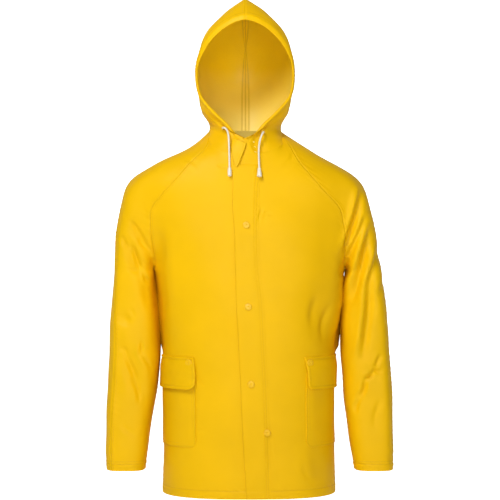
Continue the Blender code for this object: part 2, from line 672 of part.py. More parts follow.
def front_panel(side):
    """Half front: columns run from the front edge to the side and raglan seams."""
    lower = side_seam(side)
    upper = raglan_seam(side, back=False)
    border = Seam(
        np.concatenate([lower.points[:-1], upper.points]),
        np.concatenate([lower.outward[:-1], upper.outward]),
    )
    rows = len(border.points)
    share = np.linspace(0.0, 1.0, FRONT_TURNS + 1)
    top_turns = -90.0 + share * (NECK_FRONT_RAGLAN + 90.0)
    heights = front_heights(border.points, top_turns, share)

    lean = read_table(BODY, "lean", heights)
    edge_points = from_front(shoulder_distance, front_edge(heights[:, 0]), heights[:, 0])
    fly_points = from_front(shoulder_distance, fly_edge(heights[:, 1], side), heights[:, 1])
    flip = np.array([side, 1.0, 1.0])

    def turns_at(points, col):
        offset = points.copy()
        offset[:, 0] = (points[:, 0] - lean[:, col]) * side
        return turn_of(offset, 0.0)

    start_turn = turns_at(edge_points, 0)
    fly_turn = turns_at(fly_points, 1)
    end_turn = led_turns(turns_at(border.points, -1))
    pocket_share = np.mean((fly_turn[:7] + POCKET_INNER_EDGES[side]) / fly_turn[:7])
    pocket_turn = fly_turn + (end_turn - fly_turn) * pocket_share
    pocket_turn[:7] = -POCKET_INNER_EDGES[side]
    turns = np.empty((rows, FRONT_TURNS + 1))
    turns[:, 0] = start_turn
    for col in range(1, 7):
        turns[:, col] = fly_turn + (pocket_turn - fly_turn) * (col - 1) / 5
    for col in range(7, FRONT_TURNS + 1):
        turns[:, col] = pocket_turn + (end_turn - pocket_turn) * (col - 6) / (FRONT_TURNS - 6)

    start = np.stack([lean, np.zeros_like(lean), heights], axis=-1)
    direction = turn_towards(turns) * flip
    points = np.empty(start.shape)
    below = len(BODY_HEIGHTS)
    points[:below] = cast(body_distance, start[:below], direction[:below])
    points[below:] = cast(shoulder_distance, start[below:], direction[below:])
    outward = np.empty(points.shape)
    outward[:below] = normals(body_distance, points[:below])
    outward[below:] = normals(shoulder_distance, points[below:])
    neck = neck_seam(turns[-1], side)
    points[-1], outward[-1] = neck.points, neck.outward
    points[:, -1], outward[:, -1] = border.points, border.outward
    outward[:, 0, 0] *= 0.2
    outward[:, 0] = unit(outward[:, 0])
    if side > 0:
        return points, outward
    return points[:, ::-1], outward[:, ::-1]


def back_panel():
    """Whole back: columns run from the right seams to the left ones, seen from behind as left to right."""
    borders = []
    for side in (1, -1):
        lower, upper = side_seam(side), raglan_seam(side, back=True)
        borders.append(
            Seam(
                np.concatenate([lower.points[:-1], upper.points]),
                np.concatenate([lower.outward[:-1], upper.outward]),
            )
        )
    left, right = borders
    share = np.linspace(0.0, 1.0, BACK_TURNS + 1)
    heights = left.points[:, 2:] + (right.points - left.points)[:, 2:] * share[None, :]
    top_turns = NECK_BACK_RAGLAN + share * (180.0 - 2 * NECK_BACK_RAGLAN)
    folded = 90.0 - np.abs(top_turns - 90.0)
    top = read_table(NECK, "height", folded)
    above = np.clip((left.points[:, 2] - UNDERARM) / (top[0] - UNDERARM), 0.0, 1.0)
    heights = heights + (above**3)[:, None] * (top - top[0])[None, :]
    heights[UNDERARM_ROWS, 1:-1] -= np.array(UNDERARM_DIPS)[:, None]
    lean = read_table(BODY, "lean", heights)
    first = led_turns(turn_of(left.points, lean[:, 0]))
    last = turn_of(right.points, lean[:, -1])
    last = led_turns(np.where(last < 0, last + 360.0, last))
    turns = first[:, None] + (last - first)[:, None] * share[None, :]
    start = np.stack([lean, np.zeros_like(lean), heights], axis=-1)
    direction = turn_towards(turns)
    below = len(BODY_HEIGHTS)
    points = np.empty(start.shape)
    points[:below] = cast(body_distance, start[:below], direction[:below])
    points[below:] = cast(shoulder_distance, start[below:], direction[below:])
    outward = np.empty(points.shape)
    outward[:below] = normals(body_distance, points[:below])
    outward[below:] = normals(shoulder_distance, points[below:])
    over = turns[-1] > 90.0
    for side, chosen in ((1, ~over), (-1, over)):
        neck = neck_seam(np.where(over, 180.0 - turns[-1], turns[-1])[chosen], side)
        points[-1, chosen], outward[-1, chosen] = neck.points, neck.outward
    points[:, 0], outward[:, 0] = left.points, left.outward
    points[:, -1], outward[:, -1] = right.points, right.outward
    return points, outward


def sleeve_half(side, back):
    """Half a sleeve, from the underarm and raglan seams round to the overarm seam."""
    lower, upper, outer = underarm_seam(side), raglan_seam(side, back), overarm_seam(side)
    inner = Seam(
        np.concatenate([lower.points[:-1], upper.points]),
        np.concatenate([lower.outward[:-1], upper.outward]),
    )
    share = np.linspace(0.0, 1.0, SLEEVE_TURNS + 1)[None, :]
    facing = 1.0 if back else -1.0
    below = len(SLEEVE_HEIGHTS) - 1
    rows = len(inner.points)
    middle = np.empty((rows, 3))
    middle[:below] = arm_middle(side, np.array(SLEEVE_HEIGHTS[:-1]))
    upper_height = (inner.points[below:, 2] + outer.points[below:, 2]) / 2
    middle[below:] = arm_middle(side, upper_height)
    first = (inner.points - middle) * np.array([side, facing, 1.0])
    last = (outer.points - middle) * np.array([side, facing, 1.0])

    def spread(start, end):
        return start[:, None] + (end - start)[:, None] * share

    angle = spread(np.abs(np.arctan2(first[:, 1], first[:, 0])), np.arctan2(last[:, 1], last[:, 0]))
    reach = spread(np.hypot(first[:, 0], first[:, 1]), np.hypot(last[:, 0], last[:, 1]))
    rise = spread(first[:, 2], last[:, 2])
    direction = unit(np.stack([side * np.cos(angle) * reach, facing * np.sin(angle) * reach, rise], axis=-1))
    start = np.broadcast_to(middle[:, None], direction.shape)
    points = np.empty(direction.shape)
    below += 1
    points[:below, 1:-1] = cast(arm_distance, start[:below, 1:-1], direction[:below, 1:-1], reach=0.10)
    points[below:, 1:-1] = cast(shoulder_distance, start[below:, 1:-1], direction[below:, 1:-1], reach=0.24)
    points[:, 0], points[:, -1] = inner.points, outer.points
    outward = np.empty(points.shape)
    outward[:below] = normals(arm_distance, points[:below])
    outward[below:] = normals(shoulder_distance, points[below:])
    neck_turn = NECK_BACK_RAGLAN if back else NECK_FRONT_RAGLAN
    neck = neck_seam(neck_turn * (1 - share[0]), side)
    points[-1], outward[-1] = neck.points, neck.outward
    points[:, 0], outward[:, 0] = inner.points, inner.outward
    points[:, -1], outward[:, -1] = outer.points, outer.outward
    if (side > 0) == back:
        return points[:, ::-1], outward[:, ::-1]
    return points, outward


# ---------------------------------------------------------------- hood
def rim_points(side, count):
    """Points of the face opening's edge, evenly spaced from the chin to the top."""
    out, height = column(RIM, "out"), column(RIM, "height")
    walked = np.concatenate([[0.0], np.cumsum(np.hypot(np.diff(out), np.diff(height)))])
    at = np.linspace(0.0, walked[-1], count)
    x = curve_through(walked, out, at) * side + HOOD_LEAN
    z = curve_through(walked, height, at)
    return from_front(hood_distance, x, z)


def hood_half(side, neck_turns):
    """Half the hood: rows from the neck seam to the top seam, columns from the rim to the back seam."""
    climb = np.linspace(0.0, 1.0, HOOD_ROWS + 1)[:, None]
    bottom = neck_seam(neck_turns, side)
    rim = np.concatenate([bottom.points[:1], rim_points(side, HOOD_ROWS)])
    core = np.array(HOOD_CORE)

    def centre_profile(angles):
        """Points of the centre seam, by their angle above the line to the back."""
        angles = np.radians(angles)
        direction = np.stack([np.zeros_like(angles), np.cos(angles), np.sin(angles)], axis=-1)
        return cast(hood_distance, np.broadcast_to(core, direction.shape), direction)

    def angle_of(point):
        return np.degrees(math.atan2(point[2] - core[2], point[1] - core[1]))

    brow, nape = angle_of(rim[-1]), angle_of(bottom.points[-1])
    spine = centre_profile(nape + (CROWN_ANGLE - nape) * climb[:, 0])
    spine[0] = bottom.points[-1]

    def patch(share):
        """The half's surface at these shares of each row: a blend of its four edges, seen from its core."""
        low = neck_seam(-90.0 + 180.0 * share, side).points
        high = centre_profile(brow + (CROWN_ANGLE - brow) * share)
        u, v = share[..., None], climb[..., None]
        guess = (1 - v) * low + v * high + (1 - u) * rim[:, None] + u * spine[:, None]
        guess -= (1 - u) * ((1 - v) * rim[0] + v * rim[-1]) + u * ((1 - v) * spine[0] + v * spine[-1])
        direction = unit(guess - core)
        return cast(hood_distance, np.broadcast_to(core, direction.shape), direction)

    near = 0.08
    near_rim = patch(np.full((HOOD_ROWS + 1, 1), near))[:, 0]
    reach = np.linalg.norm(near_rim - rim, axis=-1) / near
    casing_share = casing_widths(side) / reach
    columns = len(neck_turns) - 1
    even = casing_share[:, None] + (1 - casing_share)[:, None] * np.linspace(0.0, 1.0, columns)
    share = np.concatenate([np.zeros((HOOD_ROWS + 1, 1)), even], axis=1)
    at_neck = (np.asarray(neck_turns) + 90.0) / 180.0
    share[0] = at_neck
    share[1, 2:] = (share[1, 2:] + at_neck[2:]) / 2

    points = patch(share)
    points[:, 0], points[:, -1] = rim, spine
    points[-1] = centre_profile(brow + (CROWN_ANGLE - brow) * share[-1])
    points[-1, 0] = rim[-1]
    outward = normals(hood_distance, points)
    outward[-1, :, 0] = 0.0
    outward[:, -1, 0] = 0.0
    outward[:2, 0, 0] = 0.0
    points[0], outward[0] = bottom.points, bottom.outward
    outward = unit(outward)
    if side > 0:
        return points, outward
    return points[:, ::-1], outward[:, ::-1]


def hood_neck_turns(side, front_top):
    """Turns of the hood's neck edge: it keeps to points that the coat's own neck edge has."""
    if side < 0:
        front_top = front_top[::-1]
    front = turn_of(front_top * np.array([side, 1.0, 1.0]), side * HOOD_LEAN)[[2, 4, 6, 8, 10, 11, 12]]
    over_front = np.linspace(NECK_FRONT_RAGLAN, 0.0, SLEEVE_TURNS // 2 + 1)
    over_back = np.linspace(0.0, NECK_BACK_RAGLAN, SLEEVE_TURNS + 1)
    back = np.linspace(NECK_BACK_RAGLAN, 90.0, BACK_TURNS // 4 + 1)
    return np.concatenate([[-90.0], front, over_front[1:], over_back[1:], back[1:]])


def casing_widths(side):
    """Width of the casing at each row of the hood: it narrows to the throat."""
    rows = column(CASING_SHARES, "row")
    shares = column(CASING_SHARES, "left" if side > 0 else "right")
    return CASING_WIDTH * np.interp(np.arange(HOOD_ROWS + 1), rows, shares)


def hood_casing(name, side, points, outward):
    """The casing: the strip of the hood along the rim, laid on the hood."""
    strip, facing = (points[1:, :2], outward[1:, :2]) if side > 0 else (points[1:, -2:], outward[1:, -2:])
    return layer(name, strip, facing, np.full(strip.shape[:2], LAYER_GAP), CASING, cloth)


def throat_tab():
    """The corner of the right front's overlap: it lies over the hood's foot and the storm flap's corner."""
    across = np.linspace(0.0, 1.0, 5)[None, :]
    ends = {name: column(THROAT_TAB, name)[:, None] for name in ThroatRow._fields}
    x = ends["left"] + (ends["right"] - ends["left"]) * across
    z = ends["left_height"] + (ends["right_height"] - ends["left_height"]) * across
    coat_y = from_front(shoulder_distance, x, np.minimum(z, NECK[0].height))[..., 1]
    points = from_front(hood_distance, x, z)
    risen = np.clip((z - NECK[0].height) / THROAT_BLEND, 0.0, 1.0)
    points[..., 1] = np.minimum(points[..., 1], coat_y + (points[..., 1] - coat_y) * risen)
    outward = np.broadcast_to([0.0, -1.0, 0.0], points.shape)
    return layer("throat_tab", points, outward, np.full(x.shape, THROAT_TAB_LIFT), CLOTH, cloth)


# ---------------------------------------------------------------- what lies on the fronts
def storm_flap(left_points, left_out, right_points, right_out):
    """The flap over the front opening: the front column of each front, moved out."""
    points = np.concatenate([right_points[:-1, -2:-1], left_points[:-1, :2]], axis=1)
    outward = np.concatenate([right_out[:-1, -2:-1], left_out[:-1, :2]], axis=1)
    points = points + outward * fold_rise(points)[..., None]
    lift = np.full(points.shape[:2], LAYER_GAP)
    return layer("storm_flap", points, outward, lift, FLAP, cloth, np.array([False, True]))


def pocket_grid(points, outward, side, rows):
    if side < 0:
        points, outward = points[:, ::-1], outward[:, ::-1]
    low, high = BODY_HEIGHTS.index(rows[0]), BODY_HEIGHTS.index(rows[1]) + 1
    cut, facing = points[low:high, 6:].copy(), outward[low:high, 6:]
    cut[:, -1] = cut[:, -2] + (cut[:, -1] - cut[:, -2]) * 0.8
    if side < 0:
        cut, facing = cut[:, ::-1], facing[:, ::-1]
    return cut, facing


def pocket_pieces(word, side, points, outward):
    """A patch pocket and its flap; gives the place of the flap's snap."""
    cut, facing = pocket_grid(points, outward, side, (POCKET_BOTTOM, POCKET_TOP))
    layer("pocket_" + word, cut, facing, np.full(cut.shape[:2], LAYER_GAP), CLOTH, cloth, side > 0)
    cut, facing = pocket_grid(points, outward, side, (POCKET_FLAP_BOTTOM, POCKET_FLAP_TOP))
    lift = np.full(cut.shape[:2], LAYER_GAP + CLOTH + FLAP_CLEARANCE)
    lift[-1] = LAYER_GAP
    edge = -1 if side > 0 else 0
    lift[0, edge] += POCKET_FLARE
    lift[1, edge] += POCKET_FLARE / 2
    layer("pocket_flap_" + word, cut, facing, lift, FLAP, cloth, side > 0)
    corner = cut[-1, 0] if side > 0 else cut[-1, -1]
    inset, drop = POCKET_SNAP_INSET
    return corner + np.array([side * inset, 0.0, -drop])


# ---------------------------------------------------------------- hardware
def turned_button(name, profile, sides, place, facing, material):
    """A turned piece: its profile of (radius, height) swept round the axis, set down facing outwards."""
    turns = np.arange(sides) * 2 * math.pi / sides
    facing = unit(np.asarray(facing, dtype=float))
    across = unit(np.cross([0.0, 0.0, 1.0], facing))
    up = np.cross(facing, across)
    closed_ring = profile[0][0] > 0
    rings, faces = [], []
    for radius, height in profile:
        if radius == 0:
            rings.append([place + facing * height])
            continue
        rim = np.cos(turns)[:, None] * across + np.sin(turns)[:, None] * up
        rings.append(place + rim * radius + facing * height)
    starts = np.cumsum([0] + [len(ring) for ring in rings])
    pairs = list(zip(range(len(rings) - 1), range(1, len(rings)), strict=True))
    if closed_ring:
        pairs.append((len(rings) - 1, 0))
    for low, high in pairs:
        for turn in range(sides):
            following = (turn + 1) % sides
            a, b = starts[low] + turn, starts[low] + following
            c, d = starts[high] + following, starts[high] + turn
            if len(rings[low]) == 1:
                faces.append([starts[low], c, d])
            elif len(rings[high]) == 1:
                faces.append([a, b, starts[high]])
            else:
                faces.append([a, b, c, d])
    return new_turned(name, np.concatenate(rings), faces, material)


def new_turned(name, vertices, faces, material):
    mesh = bpy.data.meshes.new(name)
    mesh.from_pydata(vertices.tolist(), [], [[int(corner) for corner in face] for face in faces])
    volume = 0.0
    for face in faces:
        for second, third in zip(face[1:-1], face[2:], strict=True):
            volume += float(np.dot(vertices[face[0]], np.cross(vertices[second], vertices[third])))
    if volume < 0:
        mesh.flip_normals()
    mesh.materials.append(material)
    mesh.shade_smooth()
    mesh.set_sharp_from_angle(angle=math.radians(35))
    thing = bpy.data.objects.new(name, mesh)
    coat.objects.link(thing)
    return thing


def snap(name, place, facing):
    """A snap's cap: a low dome with a small dimple in its middle."""
    profile = (
        (0.0, 0.0),
        (SNAP_RADIUS * 0.9, 0.0),
        (SNAP_RADIUS, SNAP_HEIGHT * 0.35),
        (SNAP_RADIUS * 0.86, SNAP_HEIGHT * 0.85),
        (SNAP_RADIUS * 0.5, SNAP_HEIGHT),
        (SNAP_RADIUS * 0.22, SNAP_HEIGHT * 0.96),
        (0.0, SNAP_HEIGHT - SNAP_DIMPLE),
    )
    return turned_button(name, profile, 20, place, facing, plastic)


def eyelet(name, place, facing):
    profile = (
        (EYELET_HOLE, 0.0),
        (EYELET_RADIUS, 0.0),
        (EYELET_RADIUS, EYELET_HEIGHT * 0.5),
        (EYELET_HOLE + (EYELET_RADIUS - EYELET_HOLE) / 2, EYELET_HEIGHT),
        (EYELET_HOLE, EYELET_HEIGHT * 0.6),
    )
    return turned_button(name, profile, 16, place, facing, plastic)


def cord(name, route):
    """A free cord end: a round tube along a smooth curve through its own points."""
    at = np.array([list(point) for point in route])
    walked = np.concatenate([[0.0], np.cumsum(np.linalg.norm(np.diff(at, axis=0), axis=1))])
    count = CORD_POINTS
    even = np.linspace(0.0, walked[-1], count)
    smooth = np.stack([curve_through(walked, at[:, axis], even) for axis in range(3)], axis=-1)
    data = bpy.data.curves.new(name, "CURVE")
    data.dimensions = "3D"
    spline = data.splines.new("POLY")
    spline.points.add(count - 1)
    for point, place in zip(spline.points, smooth, strict=True):
        point.co = (*place.tolist(), 1.0)
    data.bevel_depth = CORD_DIAMETER / 2
    data.bevel_resolution = 2
    data.use_fill_caps = True
    data.materials.append(cord_white)
    thing = bpy.data.objects.new(name, data)
    coat.objects.link(thing)
    return smooth


def cord_end(name, route_end, bell):
    """The moulded end on a cord: a slim sleeve, wider at its foot where it is bell shaped."""
    foot = CORD_END_RADIUS * (1.3 if bell else 1.0)
    profile = (
        (0.0, 0.0),
        (CORD_END_RADIUS * 0.72, 0.0),
        (CORD_END_RADIUS * 0.85, CORD_END_LENGTH * 0.12),
        (CORD_END_RADIUS, CORD_END_LENGTH * 0.4),
        (foot, CORD_END_LENGTH * 0.9),
        (foot * 0.8, CORD_END_LENGTH),
        (0.0, CORD_END_LENGTH),
    )
    last, before = route_end[-1], route_end[-2]
    down = unit(last - before)
    return turned_button(name, profile, 14, last + down * SEAM_GAP, down, plastic_white)


# ---------------------------------------------------------------- build
def clear_scene():
    for thing in list(bpy.data.objects):
        bpy.data.objects.remove(thing, do_unlink=True)


def new_material(name, colour, roughness):
    material = bpy.data.materials.new(name)
    material.use_nodes = True
    shader = material.node_tree.nodes["Principled BSDF"]
    shader.inputs["Base Color"].default_value = colour
    shader.inputs["Roughness"].default_value = roughness
    shader.inputs["Metallic"].default_value = 0.0
    return material


def build_front_hardware(flap_height):
    for number, place in enumerate(FRONT_SNAPS, start=1):
        spot = from_front(shoulder_distance, place.x, place.z)
        facing = normals(shoulder_distance, spot)
        snap(f"snap_{number}", spot + facing * flap_height, facing)


def build():
    left_points, left_out = front_panel(1)
    right_points, right_out = front_panel(-1)
    cloth_panel("front_left", left_points, left_out, mirrored=True)
    cloth_panel("front_right", right_points, right_out)
    cloth_panel("back", *back_panel(), mirrored=np.arange(BACK_TURNS) >= BACK_TURNS // 2)
    for word, side, front_top in (("left", 1, left_points[-1]), ("right", -1, right_points[-1])):
        cloth_panel(f"sleeve_{word}_front", *sleeve_half(side, back=False), mirrored=side > 0)
        cloth_panel(f"sleeve_{word}_back", *sleeve_half(side, back=True), mirrored=side < 0)
        hood_points, hood_out = hood_half(side, hood_neck_turns(side, front_top))
        outer = pulled_edges(hood_points)
        wall_mesh(f"hood_{word}", outer, outer - hood_out * CLOTH, cloth)
        hood_casing(f"hood_casing_{word}", side, outer, hood_out)
    throat_tab()
    storm_flap(left_points, left_out, right_points, right_out)
    flap_height = LAYER_GAP + FLAP + LAYER_GAP
    build_front_hardware(flap_height)
    for word, side, points, outward in (
        ("left", 1, left_points, left_out),
        ("right", -1, right_points, right_out),
    ):
        raised = points + outward * fold_rise(points)[..., None]
        seat = pocket_pieces(word, side, raised, outward)
        spot = from_front(body_distance, seat[0], seat[2])
        facing = normals(body_distance, spot)
        snap(f"pocket_snap_{word}", spot + facing * (flap_height + POCKET_SNAP_SEAT), facing)
    for word, route, hole, bell in (
        ("left", LEFT_CORD, LEFT_EYELET, True),
        ("right", RIGHT_CORD, RIGHT_EYELET, False),
    ):
        smooth = cord(f"drawcord_{word}", route)
        cord_end(f"cord_end_{word}", smooth, bell)
        spot = from_front(hood_distance, *hole)
        facing = normals(hood_distance, spot)
        eyelet(f"eyelet_{word}", spot + facing * (LAYER_GAP + CASING + LAYER_GAP), facing)


clear_scene()
coat = bpy.data.collections.new("hooded_raincoat")
bpy.context.scene.collection.children.link(coat)
cloth = new_material("coated_cloth", YELLOW, 0.42)
plastic = new_material("yellow_plastic", PLASTIC_YELLOW, 0.35)
plastic_white = new_material("white_plastic", CORD_WHITE, 0.4)
cord_white = new_material("white_cord", CORD_WHITE, 0.85)
build()
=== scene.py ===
"""Hooded raincoat, dressed: fine cloth, seams, stitches, snaps, drawcord ends and a plain studio.

Metres. +X is the wearer's left, -Y the front and +Z up. Each panel is worked out in wide steps between its
own seams on the coat's form, then drawn fine with smooth curves, and its creases are pressed into it.
"""

import functools
import math
from collections import namedtuple

import bpy
import numpy as np
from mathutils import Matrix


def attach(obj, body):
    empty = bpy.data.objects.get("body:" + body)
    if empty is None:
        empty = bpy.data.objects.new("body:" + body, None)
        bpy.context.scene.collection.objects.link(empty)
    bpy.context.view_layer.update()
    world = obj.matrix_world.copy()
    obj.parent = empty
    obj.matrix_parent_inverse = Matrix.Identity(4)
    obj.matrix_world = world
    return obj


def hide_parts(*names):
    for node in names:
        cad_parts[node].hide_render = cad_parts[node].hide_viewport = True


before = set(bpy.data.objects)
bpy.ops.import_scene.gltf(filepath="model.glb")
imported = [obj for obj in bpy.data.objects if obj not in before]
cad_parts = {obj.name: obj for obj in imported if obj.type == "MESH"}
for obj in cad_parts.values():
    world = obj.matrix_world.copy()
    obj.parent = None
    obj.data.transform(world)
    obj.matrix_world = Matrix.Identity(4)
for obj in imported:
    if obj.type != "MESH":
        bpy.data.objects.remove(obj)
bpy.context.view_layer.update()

bl_info = {
    "name": "Hooded raincoat",
    "version": (1, 0, 0),
    "blender": (4, 5, 0),
    "location": "View3D > Sidebar > Raincoat",
    "description": "Builds a hooded raincoat of coated cloth, piece by piece, and its plain studio",
    "category": "Object",
}

SIDES = (("left", 1), ("right", -1))

# ---- sizes
SEAM_GAP = 0.0003
LAYER_GAP = 0.0004
CASING = 0.0022
FLAP = 0.0022
POCKET_CLOTH = 0.002
POCKET_FLARE = 0.002
POCKET_WIDTH = 0.137
POCKET_HEIGHT = 0.158
POCKET_FLAP_HEIGHT = 0.069
POCKET_CORNER = 0.014  # radius of the pocket's lower inner corner
POCKET_FLAP_CORNER = 0.012

HEM_HEIGHT = -0.7465
CUFF_HEIGHT = -0.6955
UNDERARM = -0.265
POCKET_BOTTOM = -0.64
POCKET_TOP = -0.482
POCKET_FLAP_BOTTOM = -0.516
POCKET_FLAP_TOP = -0.447
POCKET_INNER_EDGES = {1: 46.0, -1: 50.0}  # degrees forward of the side seam, by side
CASING_WIDTH = 0.02
CASING_LINE = 0.88  # share of the casing's width at which it is stitched
CROWN_ANGLE = 38.0  # where the top seam is counted as the back seam, above the level of the core
THROAT_TAB_LIFT = 0.0044
UNDERARM_DIPS = (0.01, 0.005, 0.003)
UNDERARM_LEADS = (0.15, 0.35, 0.6)
THROAT_BLEND = 0.024

SNAP_RADIUS = 0.0075
SNAP_HEIGHT = 0.0026
SNAP_DIMPLE = 0.0011
POCKET_SNAP_SEAT = 0.0008
EYELET_RADIUS = 0.005
EYELET_HOLE = 0.0028
EYELET_HEIGHT = 0.0012
CORD_DIAMETER = 0.0042
CORD_POINTS = 24
BRAID_SIDES = 24
BRAID_RINGS = 140
BRAID_PITCH = 0.011  # in which a strand goes once round
CORD_END_RADIUS = 0.0041
CORD_END_LENGTH = 0.019


# ---- tables
def rows_of(fields, *rows):
    """A table whose rows can be read by the names of their columns."""
    row_kind = namedtuple("Row", fields)
    return tuple(row_kind(*row) for row in rows)


BODY = rows_of(
    "height half_width front back roundness lean",
    (-0.7465, 0.1885, 0.15, 0.13, 2.5, 0.0045),
    (-0.65, 0.187, 0.15, 0.126, 2.5, 0.0036),
    (-0.55, 0.185, 0.15, 0.121, 2.5, 0.003),
    (-0.462, 0.1882, 0.149, 0.119, 2.5, 0.0043),
    (-0.418, 0.1925, 0.148, 0.118, 2.5, 0.0048),
    (-0.37, 0.197, 0.147, 0.119, 2.5, 0.0052),
    (-0.33, 0.2003, 0.145, 0.121, 2.5, 0.0052),
    (-0.3, 0.2032, 0.143, 0.122, 2.5, 0.005),
    (-0.265, 0.208, 0.14, 0.124, 2.5, 0.006),
    (-0.22, 0.215, 0.136, 0.125, 2.5, 0.004),
    (-0.176, 0.225, 0.131, 0.124, 2.4, 0.0005),
    (-0.132, 0.2385, 0.124, 0.122, 2.3, -0.0025),
    (-0.11, 0.246, 0.119, 0.12, 2.3, -0.004),
    (-0.088, 0.253, 0.115, 0.118, 2.3, -0.0046),
    (-0.066, 0.246, 0.111, 0.115, 2.3, -0.0048),
    (-0.044, 0.216, 0.107, 0.111, 2.2, -0.0045),
    (-0.022, 0.174, 0.102, 0.106, 2.2, -0.0035),
    (0.0, 0.136, 0.095, 0.099, 2.1, 0.003),
    (0.022, 0.089, 0.082, 0.09, 2.1, -0.004),
    (0.05, 0.0735, 0.068, 0.079, 2.0, -0.005),
)

# slim is taken off the left arm's inner side and added to the right arm's
ARM = rows_of(
    "height out half_width forward half_depth lean slim",
    (-0.6955, 0.2692, 0.0405, 0.036, 0.049, 0.0058, 0.0),
    (-0.674, 0.2684, 0.0434, 0.034, 0.0505, 0.0058, 0.0),
    (-0.616, 0.2639, 0.0468, 0.027, 0.0545, 0.0053, 0.0),
    (-0.55, 0.2593, 0.0512, 0.018, 0.0585, 0.0056, 0.0),
    (-0.484, 0.2544, 0.0536, 0.009, 0.062, 0.0052, 0.0012),
    (-0.418, 0.2508, 0.0535, 0.002, 0.0645, 0.0042, 0.0015),
    (-0.33, 0.2511, 0.0481, -0.003, 0.066, 0.003, 0.0018),
    (-0.265, 0.2505, 0.041, -0.003, 0.066, 0.001, 0.0025),
    (-0.24, 0.2465, 0.0432, -0.003, 0.0665, -0.0002, 0.002),
    (-0.22, 0.2411, 0.0462, -0.003, 0.067, -0.001, 0.0015),
    (-0.176, 0.233, 0.0508, -0.002, 0.0672, -0.0024, 0.0008),
    (-0.132, 0.2215, 0.053, 0.0, 0.067, -0.0035, 0.0),
    (-0.11, 0.215, 0.0537, 0.0, 0.067, -0.004, 0.0),
    (-0.088, 0.2075, 0.0525, 0.0, 0.066, -0.0046, 0.0),
    (-0.066, 0.194, 0.045, 0.0, 0.063, -0.0048, 0.0),
    (-0.044, 0.1675, 0.04, 0.0, 0.06, -0.0045, 0.0),
    (-0.022, 0.1315, 0.034, 0.0, 0.055, -0.0035, 0.0),
    (0.0, 0.094, 0.03, 0.0, 0.05, 0.003, 0.0),
    (0.022, 0.06, 0.0245, 0.0, 0.045, -0.004, 0.0),
    (0.05, 0.027, 0.02, 0.0, 0.04, -0.005, 0.0),
)
ARM_ROUNDNESS = 2.9
ARM_BLEND = 0.009
LEAST_BLEND = 0.0015  # at the underarm, where the valley is a crease
BLEND_RISE = 0.07  # height above the underarm at which the valley is as soft as it gets
OVERARM_TURNS = {1: 12.0, -1: 56.0}  # degrees by which the overarm seam is turned forward, by side
OVERARM_STRAIGHT = -0.06  # it is back on top of the arm at this height

HOOD = rows_of(
    "height half_width middle front back roundness",
    (-0.04, 0.08, 0.0, 0.096, 0.083, 2.0),
    (0.0, 0.078, 0.0, 0.094, 0.082, 2.0),
    (0.04, 0.0738, -0.015, 0.077, 0.095, 2.1),
    (0.0603, 0.0832, -0.036, 0.058, 0.121, 2.1),
    (0.0818, 0.0958, -0.052, 0.05, 0.144, 2.1),
    (0.1034, 0.0997, -0.063, 0.046, 0.163, 2.1),
    (0.125, 0.1037, -0.068, 0.045, 0.178, 2.1),
    (0.1465, 0.1058, -0.07, 0.045, 0.187, 2.1),
    (0.1681, 0.1056, -0.07, 0.045, 0.19, 2.1),
    (0.1896, 0.1026, -0.07, 0.045, 0.188, 2.1),
    (0.2112, 0.0983, -0.07, 0.045, 0.18, 2.0),
    (0.2328, 0.0925, -0.07, 0.045, 0.166, 2.0),
    (0.2543, 0.0808, -0.07, 0.046, 0.145, 1.9),
    (0.2759, 0.0612, -0.068, 0.044, 0.116, 1.8),
    (0.2974, 0.0396, -0.06, 0.034, 0.077, 1.7),
    (0.319, 0.011, -0.054, 0.014, 0.028, 1.7),
    (0.326, 0.001, -0.052, 0.002, 0.004, 1.7),
)
HOOD_LEAN = -0.0036
HOOD_CORE = (HOOD_LEAN, -0.01, 0.15)  # every point of the hood is seen from here
HOOD_LAP = 0.0003
HOOD_LOW = 0.085
HOOD_LOW_REACH = 0.05
HOOD_SINK = {1: 0.0065, -1: 0.0045}  # how far the cloth behind the casing sinks in, low down, by side
HOOD_FELL = 0.008  # from the centre seam to the edge of its felled turning
SIGHT_START = 0.3  # lines of sight start this far in front of the coat's middle, or behind it
SIGHT_REACH = 0.42  # and are followed this far, in so many steps, the last of which is halved so often
SIGHT_STEPS = 84
HALVINGS = 26
ARM_REACH = 0.08  # lines from the arm's middle to the arm, and to the shoulder
SHOULDER_REACH = 0.2

RIM = rows_of(
    "out height",
    (0.0, 0.0195),
    (0.016, 0.0265),
    (0.031, 0.0435),
    (0.0513, 0.0624),
    (0.0748, 0.0857),
    (0.0935, 0.1071),
    (0.1012, 0.1264),
    (0.104, 0.1542),
    (0.1018, 0.1777),
    (0.0939, 0.1976),
    (0.0787, 0.2227),
    (0.0562, 0.2459),
    (0.0257, 0.265),
    (0.0, 0.2722),
)

CASING_SHARES = rows_of(  # of CASING_WIDTH, from the throat up
    "row left right",
    (1, 0.5, 0.3),
    (2, 0.7, 0.6),
    (3, 0.88, 0.9),
    (4, 1.0, 1.0),
)

THROAT_TAB = rows_of(
    "left left_height right right_height",
    (-0.0318, 0.0213, -0.0009, 0.0084),
    (-0.033, 0.008, -0.004, -0.002),
    (-0.0325, -0.008, -0.0085, -0.014),
    (-0.03, -0.024, -0.014, -0.028),
    (-0.0265, -0.04, -0.0205, -0.044),
)

NECK = rows_of(  # degrees round the neck, -90 at the front, 90 at the back
    "turn height",
    (-90, -0.014),
    (-65, -0.01),
    (-45, 0.006),
    (-28, 0.024),
    (0, 0.04),
    (45, 0.046),
    (90, 0.048),
)
NECK_FRONT_RAGLAN = -28.0
NECK_BACK_RAGLAN = 52.0

